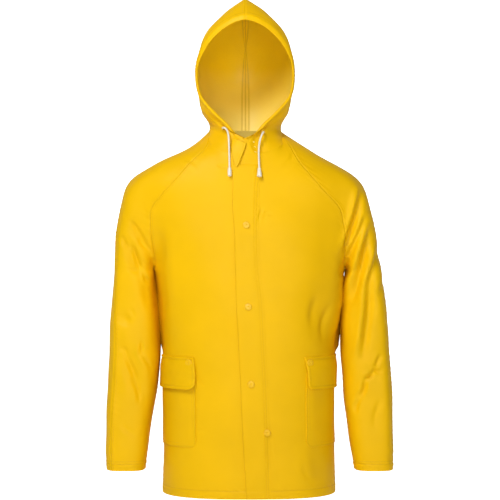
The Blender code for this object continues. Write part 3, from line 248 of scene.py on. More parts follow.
RAGLAN = rows_of(
    "height front_out back_out over_height",
    (-0.265, 0.208, 0.208, -0.265),
    (-0.256, 0.2068, 0.2068, -0.24),
    (-0.238, 0.207, 0.206, -0.213),
    (-0.213, 0.2078, 0.206, -0.185),
    (-0.186, 0.2085, 0.206, -0.157),
    (-0.159, 0.2075, 0.203, -0.13),
    (-0.133, 0.2035, 0.196, -0.106),
    (-0.108, 0.185, 0.182, -0.085),
    (-0.083, 0.162, 0.163, -0.065),
    (-0.057, 0.139, 0.142, -0.044),
    (-0.03, 0.116, 0.118, -0.02),
    (-0.003, 0.0945, 0.09, 0.007),
)

FLY = rows_of(
    "height free_edge stitch",
    (-0.7465, -0.001, 0.0468),
    (-0.6058, -0.0092, 0.0433),
    (-0.5025, -0.0139, 0.0392),
    (-0.4204, -0.0177, 0.035),
    (-0.3256, -0.023, 0.0305),
    (-0.2496, -0.0251, 0.0228),
    (-0.1734, -0.0273, 0.0206),
    (-0.1287, -0.0306, 0.0213),
    (-0.0707, -0.0297, 0.0235),
    (0.0, -0.03, 0.032),
)
FLY_SELVEDGE = 0.005  # cloth beyond the stitches
FLAP_LINES = 0.005  # between the storm flap's two rows of stitches
POCKET_LINES = (0.003, 0.0095)  # from a pocket's edge to its rows of stitches
POCKET_FLAP_LINE = 0.0065
FRONT_EDGE_SHARE = 0.45  # the fronts meet this far across the storm flap

FOLD = "out1 height1 out2 height2 width depth back"
FOLDS = rows_of(
    FOLD,
    (0.2461, -0.0798, 0.2277, -0.1445, 0.013, 0.003, 0),
    (0.2277, -0.1445, 0.215, -0.2416, 0.012, 0.0045, 0),
    (0.2662, -0.1681, 0.2283, -0.2957, 0.014, 0.0055, 0),
    (0.2727, -0.2243, 0.2565, -0.3195, 0.013, 0.004, 0),
    (0.2565, -0.3195, 0.2381, -0.458, 0.015, 0.0035, 0),
    (0.2922, -0.4731, 0.2511, -0.5077, 0.013, 0.004, 0),
    (0.2511, -0.5077, 0.2337, -0.564, 0.014, 0.004, 0),
    (-0.2508, -0.1594, -0.2119, -0.2308, 0.013, 0.0035, 0),
    (-0.2595, -0.1984, -0.2205, -0.2871, 0.014, 0.004, 0),
    (-0.2205, -0.2871, -0.2087, -0.3433, 0.014, 0.003, 0),
    (-0.2725, -0.3585, -0.2552, -0.3801, 0.013, 0.003, 0),
    (-0.2665, -0.4336, -0.2205, -0.5467, 0.016, 0.0035, 0),
    (0.1254, -0.326, 0.19, -0.43, 0.03, 0.004, 0),
    (-0.1919, -0.1725, -0.188, -0.246, 0.016, 0.0035, 0),
    (0.26, -0.15, 0.205, -0.25, 0.016, 0.005, 1),
    (0.275, -0.23, 0.23, -0.33, 0.016, 0.004, 1),
    (0.29, -0.39, 0.24, -0.45, 0.017, 0.004, 1),
    (-0.26, -0.145, -0.205, -0.24, 0.016, 0.0045, 1),
    (-0.276, -0.245, -0.225, -0.325, 0.016, 0.004, 1),
    (-0.288, -0.405, -0.235, -0.48, 0.017, 0.004, 1),
    (0.09, -0.13, 0.19, -0.23, 0.024, 0.004, 1),
    (-0.085, -0.14, -0.185, -0.24, 0.024, 0.004, 1),
    (-0.12, -0.39, 0.02, -0.435, 0.034, 0.0045, 1),
    (0.03, -0.47, 0.15, -0.435, 0.034, 0.004, 1),
)

LEFT_CORD = (
    (0.0354, -0.0836, 0.0334),
    (0.0356, -0.0877, 0.0333),
    (0.0348, -0.0915, 0.0323),
    (0.0333, -0.0943, 0.0298),
    (0.0314, -0.096, 0.0258),
    (0.0295, -0.0968, 0.0206),
    (0.0278, -0.0972, 0.0145),
    (0.0265, -0.0978, 0.0078),
    (0.0257, -0.099, 0.0005),
    (0.0254, -0.101, -0.007),
    (0.0254, -0.1037, -0.015),
    (0.0256, -0.1068, -0.024),
    (0.0259, -0.11, -0.034),
    (0.0262, -0.1133, -0.045),
)
RIGHT_CORD = (
    (-0.0515, -0.0809, 0.0419),
    (-0.0518, -0.085, 0.042),
    (-0.0506, -0.0889, 0.0424),
    (-0.0481, -0.0921, 0.042),
    (-0.045, -0.0943, 0.0397),
    (-0.0423, -0.0954, 0.0355),
    (-0.0404, -0.0957, 0.0298),
    (-0.0393, -0.0957, 0.0232),
    (-0.0387, -0.0959, 0.0157),
    (-0.0384, -0.0966, 0.0075),
    (-0.0381, -0.098, -0.001),
    (-0.0379, -0.1, -0.01),
    (-0.0376, -0.1028, -0.02),
    (-0.0373, -0.1065, -0.031),
    (-0.037, -0.1108, -0.044),
)
LEFT_EYELET = (0.0338, 0.0338)
RIGHT_EYELET = (-0.0495, 0.0425)

FRONT_SNAPS = (
    (-0.0012, -0.1675),
    (0.0028, -0.3403),
    (0.0089, -0.5032),
    (0.0425, -0.6052),
)
POCKET_SNAP_INSET = (0.01, 0.012)  # from the flap's inner edge, and from its top

# ---- grids
FRONT_TURNS = 12
BACK_TURNS = 20
SLEEVE_TURNS = 8
HOOD_ROWS = 16
POCKET_COLUMN = 6  # of a front, at the pocket's inner edge
POCKET_ROWS = 7  # of a front, from the hem to the pocket's top
POCKET_SPAN = 5.8  # columns of a front that a pocket covers, just short of the side seam
POCKET_FLAP_TAPER = {1: 0.0, -1: 0.7}  # columns by which a pocket flap is shorter at its top, by side
BODY_HEIGHTS = (
    HEM_HEIGHT, -0.693, POCKET_BOTTOM, -0.598, -0.557, POCKET_FLAP_BOTTOM, POCKET_TOP, POCKET_FLAP_TOP,
    -0.408, -0.37, -0.332, -0.298, UNDERARM,
)
UNDERARM_ROWS = slice(len(BODY_HEIGHTS) - 1, len(BODY_HEIGHTS) - 1 + len(UNDERARM_DIPS))
SLEEVE_HEIGHTS = (
    CUFF_HEIGHT, -0.665, -0.625, -0.585, -0.548, -0.512, -0.477, -0.442, -0.406, -0.37, -0.332,
    -0.298, UNDERARM,
)


# ---- curves and forms
def xyz(points):
    """The three coordinates of points, each as an array."""
    return points[..., 0], points[..., 1], points[..., 2]


def column(table, name):
    """One column of a table."""
    return np.array([getattr(row, name) for row in table], dtype=float)


def curve_through(knots, values, at):
    """Smooth curve through a table that never overshoots: cubic between knots, flat at a peak."""
    step = np.diff(knots)
    rise = np.diff(values) / step
    slope = np.empty_like(values)
    slope[0], slope[-1] = rise[0], rise[-1]
    same_way = rise[:-1] * rise[1:] > 0
    total = np.where(same_way, rise[:-1] + rise[1:], 1.0)
    slope[1:-1] = np.where(same_way, 2 * rise[:-1] * rise[1:] / total, 0.0)
    at = np.clip(at, knots[0], knots[-1])
    cell = np.clip(np.searchsorted(knots, at, side="right") - 1, 0, len(step) - 1)
    t = (at - knots[cell]) / step[cell]
    start = values[cell] * (1 + 2 * t) * (1 - t) ** 2 + slope[cell] * step[cell] * t * (1 - t) ** 2
    end = values[cell + 1] * t * t * (3 - 2 * t) + slope[cell + 1] * step[cell] * t * t * (t - 1)
    return start + end


def read_table(table, name, at):
    """A column of a table, read at any height by the smooth curve through its rows."""
    return curve_through(column(table, table[0]._fields[0]), column(table, name), at)


def oval_distance(x, y, half_width, half_depth, roundness):
    """How far a point is outside the oval |x/a|^n + |y/b|^n = 1, along the line to its middle."""
    reach = np.hypot(x, y) + 1e-9
    power = np.abs(x / half_width) ** roundness + np.abs(y / half_depth) ** roundness + 1e-12
    return reach * (1 - power ** (-1 / roundness))


def body_distance(points):
    """Distance outside the body: the oval of each height, with its own front and back depths."""
    x, y, z = xyz(points)
    depth = np.where(y < 0, read_table(BODY, "front", z), read_table(BODY, "back", z))
    width = read_table(BODY, "half_width", z)
    return oval_distance(x - read_table(BODY, "lean", z), y, width, depth, read_table(BODY, "roundness", z))


def arm_distance(points):
    """Distance outside an arm: the oval of each height, round the arm's own middle line."""
    x, y, z = xyz(points)
    away = x - read_table(ARM, "lean", z)
    slim = read_table(ARM, "slim", z) * np.sign(away)
    out = np.abs(away) - read_table(ARM, "out", z) - slim
    width, depth = read_table(ARM, "half_width", z) - slim, read_table(ARM, "half_depth", z)
    return oval_distance(out, y + read_table(ARM, "forward", z), width, depth, ARM_ROUNDNESS)


def shoulder_distance(points):
    """Body and arm run together in a soft valley."""
    risen = np.clip((points[..., 2] - UNDERARM) / BLEND_RISE, 0.0, 1.0)
    blend = LEAST_BLEND + (ARM_BLEND - LEAST_BLEND) * risen
    body = np.clip(body_distance(points) / blend, -60, 60)
    arm = np.clip(arm_distance(points) / blend, -60, 60)
    return -blend * np.log(np.exp(-body) + np.exp(-arm))


def hood_distance(points):
    """Distance outside the hood: the oval of each height, set back by its middle."""
    x, y, z = xyz(points)
    y = y - read_table(HOOD, "middle", z)
    depth = np.where(y < 0, read_table(HOOD, "front", z), read_table(HOOD, "back", z))
    above = np.maximum(z - HOOD[-1].height, 0.0)
    width = read_table(HOOD, "half_width", z)
    return oval_distance(x - HOOD_LEAN, y, width, depth, read_table(HOOD, "roundness", z)) + above


def cast(distance, start, direction, inside=True, reach=SIGHT_REACH):
    """First crossing of a form along straight lines, from inside it outwards, or from outside it."""
    start = np.broadcast_to(start, direction.shape)
    sign = 1.0 if inside else -1.0
    t = np.linspace(0.0, reach, SIGHT_STEPS)
    walk = start[..., None, :] + direction[..., None, :] * t[:, None]
    crossed = sign * distance(walk) > 0
    crossed[..., 0] = False
    if not np.all(crossed.any(axis=-1)):
        raise ValueError("a line never crosses the form")
    first = np.argmax(crossed, axis=-1)
    low, high = t[first - 1], t[first]
    for _ in range(HALVINGS):
        middle = (low + high) / 2
        outside = sign * distance(start + direction * middle[..., None]) > 0
        high = np.where(outside, middle, high)
        low = np.where(outside, low, middle)
    return start + direction * ((low + high) / 2)[..., None]


def unit(vectors):
    """Vectors divided by their lengths."""
    return vectors / np.linalg.norm(vectors, axis=-1, keepdims=True)


def normals(distance, points, step=0.0015):
    """Outward direction of a form, from its slopes along the three axes."""
    slopes = []
    for axis in range(3):
        shift = np.zeros(3)
        shift[axis] = step
        slopes.append(distance(points + shift) - distance(points - shift))
    return unit(np.stack(slopes, axis=-1))


def from_front(distance, x, z, back=False):
    """Points of a form's front, or of its back, at given places in the front view."""
    x, z = np.broadcast_arrays(np.asarray(x, float), np.asarray(z, float))
    facing = 1.0 if back else -1.0
    start = np.stack([x, np.full(x.shape, facing * SIGHT_START), z], axis=-1)
    return cast(distance, start, np.broadcast_to([0.0, -facing, 0.0], start.shape), inside=False)


def turn_towards(degrees):
    """Level direction: 0 is +X, -90 the front, 90 the back."""
    angle = np.radians(degrees)
    return np.stack([np.cos(angle), np.sin(angle), np.zeros_like(angle)], axis=-1)


def turn_of(points, middle_x):
    """Level direction of points round a vertical line, in degrees."""
    return np.degrees(np.arctan2(points[..., 1], points[..., 0] - middle_x))


# ---- folds
SIDE_BLEND = 0.03  # a fold fades within this depth, at the coat's middle from front to back


def seen_from(points, fold):
    """One on the side of the coat that the fold is on, nothing on the other."""
    y = points[..., 1]
    return np.clip((y if fold.back else -y) / SIDE_BLEND + 0.4, 0.0, 1.0)


def fold_rise(points, folds=FOLDS):
    """How far the cloth stands out: each fold is a soft trough between two low ridges.

    Its depth is (1 - 0.55 s^2) exp(-s^2/1.6), s being the distance from the fold's line over its width.
    """
    x, z = points[..., 0], points[..., 2]
    rise = np.zeros(x.shape)
    for fold in folds:
        along = np.array([fold.out2 - fold.out1, fold.height2 - fold.height1])
        length = np.hypot(*along)
        share = ((x - fold.out1) * along[0] + (z - fold.height1) * along[1]) / length**2
        nearest = np.clip(share, 0.0, 1.0)
        offset = (x - fold.out1 - nearest * along[0], z - fold.height1 - nearest * along[1])
        across = np.hypot(*offset) / fold.width
        ends = np.clip(1.2 - np.abs(share - 0.5) * 1.6, 0.0, 1.0)
        trough = (1 - 0.55 * across**2) * np.exp(-(across**2) / 1.6)
        rise -= fold.depth * trough * ends * seen_from(points, fold)
    return rise


# ---- seams
class Seam:
    """Points along a line where panels meet, with the outward directions that their walls share."""

    def __init__(self, points, outward):
        self.points = points
        self.outward = unit(outward)


def both(distance, points):
    """A seam through these points, facing as the form faces there."""
    return Seam(points, normals(distance, points))


def joined(*seams):
    """One seam of several, whose points follow each other."""
    points = np.concatenate([seam.points for seam in seams])
    return Seam(points, np.concatenate([seam.outward for seam in seams]))


def border_of(lower, upper):
    """A panel's side: the lower seam up to the underarm, then the raglan seam."""
    return joined(Seam(lower.points[:-1], lower.outward[:-1]), upper)


def on_axis(x, heights):
    """Points at these heights, to the side by x and in the middle from front to back."""
    return np.stack([x, np.zeros(heights.shape), heights], axis=-1)


def cast_rows(forms, below, start, direction, reaches=(SIGHT_REACH, SIGHT_REACH)):
    """Points and outward directions of rows: below a count on the first form, the rest on the second."""
    points, outward = [], []
    for form, part, reach in zip(forms, (slice(None, below), slice(below, None)), reaches):
        points.append(cast(form, start[part], direction[part], reach=reach))
        outward.append(normals(form, points[-1]))
    return np.concatenate(points), np.concatenate(outward)


def neck_seam(turns, side):
    """The neck seam between two turns: shared by the coat and the hood."""
    turns = np.asarray(turns, dtype=float)
    heights = read_table(NECK, "height", turns)
    direction = turn_towards(turns) * np.array([side, 1.0, 1.0])
    points = cast(shoulder_distance, on_axis(np.full(turns.shape, HOOD_LEAN), heights), direction)
    outward = normals(shoulder_distance, points) + normals(hood_distance, points)
    outward[np.abs(turns) == 90, 0] = 0.0
    return Seam(points, outward)


def side_seam(side):
    """Side seam from the hem to the underarm: where the body's ovals are widest."""
    heights = np.array(BODY_HEIGHTS)
    start = on_axis(read_table(BODY, "lean", heights), heights)
    points = cast(body_distance, start, np.broadcast_to([side, 0.0, 0.0], start.shape))
    return ended_at_underarm(both(body_distance, points), side)


def underarm_point(side):
    """Where the side seam, the underarm seam and both raglan seams meet."""
    lean = (read_table(BODY, "lean", UNDERARM) + read_table(ARM, "lean", UNDERARM)) / 2
    lean += read_table(ARM, "slim", UNDERARM)
    return np.array([float(lean) + side * RAGLAN[0].front_out, 0.0, UNDERARM])


def ended_at_underarm(seam, side):
    """A seam whose last point is the underarm's, facing down."""
    seam.points[-1] = underarm_point(side)
    seam.outward[-1] = (0.0, 0.0, -1.0)
    return seam


def underarm_seam(side):
    """Underarm seam from the cuff to the underarm: where each of the arm's ovals is nearest the body."""
    heights = np.array(SLEEVE_HEIGHTS)
    start = arm_middle(side, heights)
    points = cast(arm_distance, start, np.broadcast_to([-side, 0.0, 0.0], start.shape), reach=ARM_REACH)
    return ended_at_underarm(both(arm_distance, points), side)


def arm_middle(side, heights):
    """Middle of the arm at given heights."""
    lean = read_table(ARM, "lean", heights) + read_table(ARM, "slim", heights)
    x = side * read_table(ARM, "out", heights) + lean
    return np.stack([x, -read_table(ARM, "forward", heights), heights], axis=-1)


def raglan_seam(side, back):
    """From the underarm to the neck, over the front or the back of the shoulder."""
    rows = RAGLAN[1:]
    heights = column(rows, "height")
    out = column(rows, "back_out" if back else "front_out")
    x = side * out + read_table(BODY, "lean", heights)
    points = from_front(shoulder_distance, x, heights, back)
    neck = neck_seam([NECK_BACK_RAGLAN if back else NECK_FRONT_RAGLAN], side)
    start = Seam(underarm_point(side)[None], np.array([[0.0, 0.0, -1.0]]))
    return joined(start, both(shoulder_distance, points), neck)


def overarm_direction(side, heights):
    """Level direction from the arm's middle to the overarm seam, turned forward below the shoulder."""
    down = (OVERARM_STRAIGHT - heights) / (OVERARM_STRAIGHT - UNDERARM)
    turn = OVERARM_TURNS[side] * np.clip(down, 0.0, 1.0)
    return turn_towards(-turn) * np.array([side, 1.0, 1.0])


def overarm_seam(side):
    """Down the outer sleeve from the neck to the cuff, listed from the cuff up."""
    heights = np.array(SLEEVE_HEIGHTS[:-1])
    low = cast(arm_distance, arm_middle(side, heights), overarm_direction(side, heights), reach=ARM_REACH)
    upper = column(RAGLAN, "over_height")
    way = overarm_direction(side, upper)
    high = cast(shoulder_distance, arm_middle(side, upper), way, reach=SHOULDER_REACH)
    return joined(both(arm_distance, low), both(shoulder_distance, high), neck_seam([0.0], side))


# ---- panels, in wide steps
def front_edge(heights):
    """X of the line where the fronts meet under the storm flap."""
    free = read_table(FLY, "free_edge", heights)
    return free + (read_table(FLY, "stitch", heights) - free) * FRONT_EDGE_SHARE


def fly_edge(heights, side):
    """X of the storm flap's free edge (right front) or of its stitched edge (left front)."""
    if side > 0:
        return read_table(FLY, "stitch", heights) + FLY_SELVEDGE
    return read_table(FLY, "free_edge", heights)


def front_heights(seam_points, top_turns, share):
    """Heights of a front's rows: level at the side, rising to follow the neck seam at the top."""
    side = seam_points[:, 2]
    top = read_table(NECK, "height", top_turns)
    above = np.clip((side - UNDERARM) / (side[-1] - UNDERARM), 0.0, 1.0)
    centre = UNDERARM + (top[0] - UNDERARM) * above
    centre = np.where(side < UNDERARM, side, centre)
    level = centre[:, None] + (side - centre)[:, None] * share[None, :]
    straight_top = centre[-1] + (side[-1] - centre[-1]) * share
    heights = level + (above**3)[:, None] * (top - straight_top)[None, :]
    heights[UNDERARM_ROWS, :-1] -= np.array(UNDERARM_DIPS)[:, None]
    return heights


def led_turns(border_turn):
    """The border's turns, with the rows below the underarm drawn towards the raglan seam's first point."""
    led = border_turn.copy()
    first = len(BODY_HEIGHTS)
    rows = slice(first - len(UNDERARM_LEADS), first)
    led[rows] += (led[first] - led[rows]) * np.array(UNDERARM_LEADS)
    return led


@functools.cache
def wide_front(side):
    """Half front: columns run from the front edge to the side and raglan seams."""
    border = border_of(side_seam(side), raglan_seam(side, back=False))
    share = np.linspace(0.0, 1.0, FRONT_TURNS + 1)
    top_turns = -90.0 + share * (NECK_FRONT_RAGLAN + 90.0)
    heights = front_heights(border.points, top_turns, share)
    lean = read_table(BODY, "lean", heights)

    def turns_at(points, col):
        return np.degrees(np.arctan2(points[:, 1], (points[:, 0] - lean[:, col]) * side))

    edge_points = from_front(shoulder_distance, front_edge(heights[:, 0]), heights[:, 0])
    fly_points = from_front(shoulder_distance, fly_edge(heights[:, 1], side), heights[:, 1])
    fly_turn = turns_at(fly_points, 1)
    end_turn = led_turns(turns_at(border.points, -1))
    pocket_edge = POCKET_INNER_EDGES[side]
    pocket_share = np.mean((fly_turn[:POCKET_ROWS] + pocket_edge) / fly_turn[:POCKET_ROWS])
    pocket_turn = fly_turn + (end_turn - fly_turn) * pocket_share
    pocket_turn[:POCKET_ROWS] = -pocket_edge
    turns = np.empty(heights.shape)
    turns[:, 0] = turns_at(edge_points, 0)
    inner, outer = POCKET_COLUMN - 1, FRONT_TURNS - POCKET_COLUMN
    for col in range(inner + 1):
        turns[:, col + 1] = fly_turn + (pocket_turn - fly_turn) * col / inner
    for col in range(1, outer + 1):
        turns[:, POCKET_COLUMN + col] = pocket_turn + (end_turn - pocket_turn) * col / outer

    direction = turn_towards(turns) * np.array([side, 1.0, 1.0])
    forms = (body_distance, shoulder_distance)
    points, outward = cast_rows(forms, len(BODY_HEIGHTS), on_axis(lean, heights), direction)
    neck = neck_seam(turns[-1], side)
    points[-1], outward[-1] = neck.points, neck.outward
    points[:, -1], outward[:, -1] = border.points, border.outward
    outward[:, 0, 0] *= 0.2
    outward[:, 0] = unit(outward[:, 0])
    if side > 0:
        return points, outward
    return points[:, ::-1], outward[:, ::-1]


def wide_back():
    """Whole back: columns run from the right seams to the left ones, seen from behind as left to right."""
    left, right = (border_of(side_seam(side), raglan_seam(side, back=True)) for side in (1, -1))
    share = np.linspace(0.0, 1.0, BACK_TURNS + 1)
    heights = left.points[:, 2:] + (right.points - left.points)[:, 2:] * share[None, :]
    top_turns = NECK_BACK_RAGLAN + share * (180.0 - 2 * NECK_BACK_RAGLAN)
    folded = 90.0 - np.abs(top_turns - 90.0)
    top = read_table(NECK, "height", folded)
    above = np.clip((left.points[:, 2] - UNDERARM) / (top[0] - UNDERARM), 0.0, 1.0)
    heights = heights + (above**3)[:, None] * (top - top[0])[None, :]
    heights[UNDERARM_ROWS, 1:-1] -= np.array(UNDERARM_DIPS)[:, None]
    lean = read_table(BODY, "lean", heights)
    first = led_turns(turn_of(left.points, lean[:, 0]))
    last = turn_of(right.points, lean[:, -1])
    last = led_turns(np.where(last < 0, last + 360.0, last))
    turns = first[:, None] + (last - first)[:, None] * share[None, :]
    forms = (body_distance, shoulder_distance)
    points, outward = cast_rows(forms, len(BODY_HEIGHTS), on_axis(lean, heights), turn_towards(turns))
    over = turns[-1] > 90.0
    for side, chosen in ((1, ~over), (-1, over)):
        neck = neck_seam(np.where(over, 180.0 - turns[-1], turns[-1])[chosen], side)
        points[-1, chosen], outward[-1, chosen] = neck.points, neck.outward
    points[:, 0], outward[:, 0] = left.points, left.outward
    points[:, -1], outward[:, -1] = right.points, right.outward
    return points, outward


def wide_sleeve(side, back):
    """Half a sleeve, from the underarm and raglan seams round to the overarm seam."""
    inner, outer = border_of(underarm_seam(side), raglan_seam(side, back)), overarm_seam(side)
    share = np.linspace(0.0, 1.0, SLEEVE_TURNS + 1)[None, :]
    facing = 1.0 if back else -1.0
    below = len(SLEEVE_HEIGHTS) - 1
    upper_height = (inner.points[below:, 2] + outer.points[below:, 2]) / 2
    middle = arm_middle(side, np.concatenate([SLEEVE_HEIGHTS[:-1], upper_height]))
    first = (inner.points - middle) * np.array([side, facing, 1.0])
    last = (outer.points - middle) * np.array([side, facing, 1.0])

    def spread(start, end):
        return start[:, None] + (end - start)[:, None] * share

    angle = spread(np.abs(np.arctan2(first[:, 1], first[:, 0])), np.arctan2(last[:, 1], last[:, 0]))
    reach = spread(np.hypot(first[:, 0], first[:, 1]), np.hypot(last[:, 0], last[:, 1]))
    rise = spread(first[:, 2], last[:, 2])
    direction = unit(np.stack([side * np.cos(angle) * reach, facing * np.sin(angle) * reach, rise], axis=-1))
    start = np.broadcast_to(middle[:, None], direction.shape)
    points, outward = np.empty(direction.shape), np.empty(direction.shape)
    points[:, 1:-1], outward[:, 1:-1] = cast_rows(
        (arm_distance, shoulder_distance), below + 1, start[:, 1:-1], direction[:, 1:-1], (0.1, 0.24)
    )
    neck_turn = NECK_BACK_RAGLAN if back else NECK_FRONT_RAGLAN
    neck = neck_seam(neck_turn * (1 - share[0]), side)
    points[-1], outward[-1] = neck.points, neck.outward
    points[:, 0], outward[:, 0] = inner.points, inner.outward
    points[:, -1], outward[:, -1] = outer.points, outer.outward
    if (side > 0) == back:
        return points[:, ::-1], outward[:, ::-1]
    return points, outward


def rim_points(side, count):
    """Points of the face opening's edge, evenly spaced from the chin to the top."""
    out, height = column(RIM, "out"), column(RIM, "height")
    walked = np.concatenate([[0.0], np.cumsum(np.hypot(np.diff(out), np.diff(height)))])
    at = np.linspace(0.0, walked[-1], count)
    x = curve_through(walked, out, at) * side + HOOD_LEAN
    z = curve_through(walked, height, at)
    return from_front(hood_distance, x, z)


def wide_hood(side, neck_turns):
    """Half the hood: rows from the neck seam to the top seam, columns from the rim to the back seam."""
    climb = np.linspace(0.0, 1.0, HOOD_ROWS + 1)[:, None]
    bottom = neck_seam(neck_turns, side)
    rim = np.concatenate([bottom.points[:1], rim_points(side, HOOD_ROWS)])
    core = np.array(HOOD_CORE)

    def centre_profile(angles):
        """Points of the centre seam, by their angle above the line to the back."""
        angles = np.radians(angles)
        direction = np.stack([np.zeros_like(angles), np.cos(angles), np.sin(angles)], axis=-1)
        return cast(hood_distance, np.broadcast_to(core, direction.shape), direction)

    def angle_of(point):
        return np.degrees(math.atan2(point[2] - core[2], point[1] - core[1]))

    brow, nape = angle_of(rim[-1]), angle_of(bottom.points[-1])
    spine = centre_profile(nape + (CROWN_ANGLE - nape) * climb[:, 0])
    spine[0] = bottom.points[-1]

    def patch(share):
        """The half's surface at these shares of each row: a blend of its four edges, seen from its core."""
        low = neck_seam(-90.0 + 180.0 * share, side).points
        high = centre_profile(brow + (CROWN_ANGLE - brow) * share)
        u, v = share[..., None], climb[..., None]
        guess = (1 - v) * low + v * high + (1 - u) * rim[:, None] + u * spine[:, None]
        guess -= (1 - u) * ((1 - v) * rim[0] + v * rim[-1]) + u * ((1 - v) * spine[0] + v * spine[-1])
        direction = unit(guess - core)
        return cast(hood_distance, np.broadcast_to(core, direction.shape), direction)

    near = 0.08
    near_rim = patch(np.full((HOOD_ROWS + 1, 1), near))[:, 0]
    reach = np.linalg.norm(near_rim - rim, axis=-1) / near
    casing_share = casing_widths(side) / reach
    columns = len(neck_turns) - 1
    even = casing_share[:, None] + (1 - casing_share)[:, None] * np.linspace(0.0, 1.0, columns)
    share = np.concatenate([np.zeros((HOOD_ROWS + 1, 1)), even], axis=1)
    at_neck = (np.asarray(neck_turns) + 90.0) / 180.0
    share[0] = at_neck
    share[1, 2:] = (share[1, 2:] + at_neck[2:]) / 2

    points = patch(share)
    points[:, 0], points[:, -1] = rim, spine
    points[-1] = centre_profile(brow + (CROWN_ANGLE - brow) * share[-1])
    points[-1, 0] = rim[-1]
    outward = normals(hood_distance, points)
    outward[-1, :, 0] = 0.0
    outward[:, -1, 0] = 0.0
    outward[:2, 0, 0] = 0.0
    points[0], outward[0] = bottom.points, bottom.outward
    outward = unit(outward)
    if side > 0:
        return points, outward
    return points[:, ::-1], outward[:, ::-1]


def hood_neck_turns(side, front_top):
    """Turns of the hood's neck edge: it keeps to points that the coat's own neck edge has."""
    if side < 0:
        front_top = front_top[::-1]
    front = turn_of(front_top * np.array([side, 1.0, 1.0]), side * HOOD_LEAN)[[2, 4, 6, 8, 10, 11, 12]]
    over_front = np.linspace(NECK_FRONT_RAGLAN, 0.0, SLEEVE_TURNS // 2 + 1)
    over_back = np.linspace(0.0, NECK_BACK_RAGLAN, SLEEVE_TURNS + 1)
    back = np.linspace(NECK_BACK_RAGLAN, 90.0, BACK_TURNS // 4 + 1)
    return np.concatenate([[-90.0], front, over_front[1:], over_back[1:], back[1:]])


def casing_widths(side):
    """Width of the casing at each row of the hood: it narrows to the throat."""
    rows = column(CASING_SHARES, "row")
    shares = column(CASING_SHARES, "left" if side > 0 else "right")
    return CASING_WIDTH * np.interp(np.arange(HOOD_ROWS + 1), rows, shares)


def throat_grid():
    """Points of the overlap's corner at the throat, in front of the hood's foot and of the coat."""
    across = np.linspace(0.0, 1.0, 5)[None, :]
    ends = {name: column(THROAT_TAB, name)[:, None] for name in THROAT_TAB[0]._fields}
    x = ends["left"] + (ends["right"] - ends["left"]) * across
    z = ends["left_height"] + (ends["right_height"] - ends["left_height"]) * across
    coat_y = from_front(shoulder_distance, x, np.minimum(z, NECK[0].height))[..., 1]
    points = from_front(hood_distance, x, z)
    risen = np.clip((z - NECK[0].height) / THROAT_BLEND, 0.0, 1.0)
    points[..., 1] = np.minimum(points[..., 1], coat_y + (points[..., 1] - coat_y) * risen)
    return points, np.broadcast_to([0.0, -1.0, 0.0], points.shape).copy()


# ---- fine surfaces
Panel = namedtuple("Panel", "points outward rows cols")


def spline(values, at):
    """Cubic splines along the first axis, read at counts of their knots.

    Knots are as far apart as the points; each piece is a(1-t) + bt plus the bend terms
    ((1-t)^3 - (1-t)) M0 h^2/6 + (t^3 - t) M1 h^2/6, with the bends M equal at an end and next to it.
    """
    chord = np.linalg.norm(np.diff(values[..., :3], axis=0), axis=-1) + 1e-6
    number = len(values)
    matrix = np.zeros((chord.shape[1], number, number))
    inner = np.arange(1, number - 1)
    matrix[:, inner, inner - 1] = chord[:-1].T
    matrix[:, inner, inner] = 2 * (chord[:-1] + chord[1:]).T
    matrix[:, inner, inner + 1] = chord[1:].T
    matrix[:, 0, 0] = matrix[:, -1, -1] = 1.0
    matrix[:, 0, 1] = matrix[:, -1, -2] = -1.0
    right = np.zeros(values.shape)
    right[1:-1] = 6 * np.diff(np.diff(values, axis=0) / chord[..., None], axis=0)
    bend = np.linalg.solve(matrix, right.transpose(1, 0, 2)).transpose(1, 0, 2)
    cell = np.clip(np.floor(at).astype(int), 0, number - 2)
    after = (at - cell)[:, None, None]
    before = 1.0 - after
    step = chord[cell][..., None] ** 2 / 6
    straight = before * values[cell] + after * values[cell + 1]
    return straight + ((before**3 - before) * bend[cell] + (after**3 - after) * bend[cell + 1]) * step


def counts(number, parts, start=(), end=()):
    """Counts from 0 to number in equal parts, with the first or last step cut at its own shares."""
    at = np.linspace(0.0, number, number * parts + 1)
    if start:
        at = np.concatenate([[0.0], start, at[at > 0.999]])
    if end:
        at = np.concatenate([at[at < number - 0.999], number - np.array(end)[::-1], [number]])
    return at


def fine_panel(points, outward, rows, cols, cornered=()):
    """A panel's surface: splines up its columns, then across; cornered columns turn at the underarm."""
    grid = np.concatenate([points, outward], axis=-1)
    upward = spline(grid, rows)
    corner = len(BODY_HEIGHTS) - 1
    low = rows <= corner
    for col in cornered:
        line = grid[:, col : col + 1]
        pieces = [spline(line[: corner + 1], rows[low]), spline(line[corner:], rows[~low] - corner)]
        upward[:, col : col + 1] = np.concatenate(pieces)
    across = spline(upward.transpose(1, 0, 2), cols).transpose(1, 0, 2)
    return Panel(across[..., :3], unit(across[..., 3:]), rows, cols)


def read_grid(grid, rows, cols, v, u):
    """Values of a grid at any counts, by straight lines between the four nearest points."""
    i = np.clip(np.searchsorted(rows, v, side="right") - 1, 0, len(rows) - 2)
    j = np.clip(np.searchsorted(cols, u, side="right") - 1, 0, len(cols) - 2)
    s = ((v - rows[i]) / (rows[i + 1] - rows[i]))[..., None]
    t = ((u - cols[j]) / (cols[j + 1] - cols[j]))[..., None]
    low = grid[i, j] * (1 - t) + grid[i, j + 1] * t
    high = grid[i + 1, j] * (1 - t) + grid[i + 1, j + 1] * t
    return low * (1 - s) + high * s


def walked(points, axis):
    """Length along a grid's lines from their first points."""
    step = np.linalg.norm(np.diff(points, axis=axis), axis=-1)
    start = np.zeros_like(np.take(step, [0], axis=axis))
    return np.concatenate([start, np.cumsum(step, axis=axis)], axis=axis)


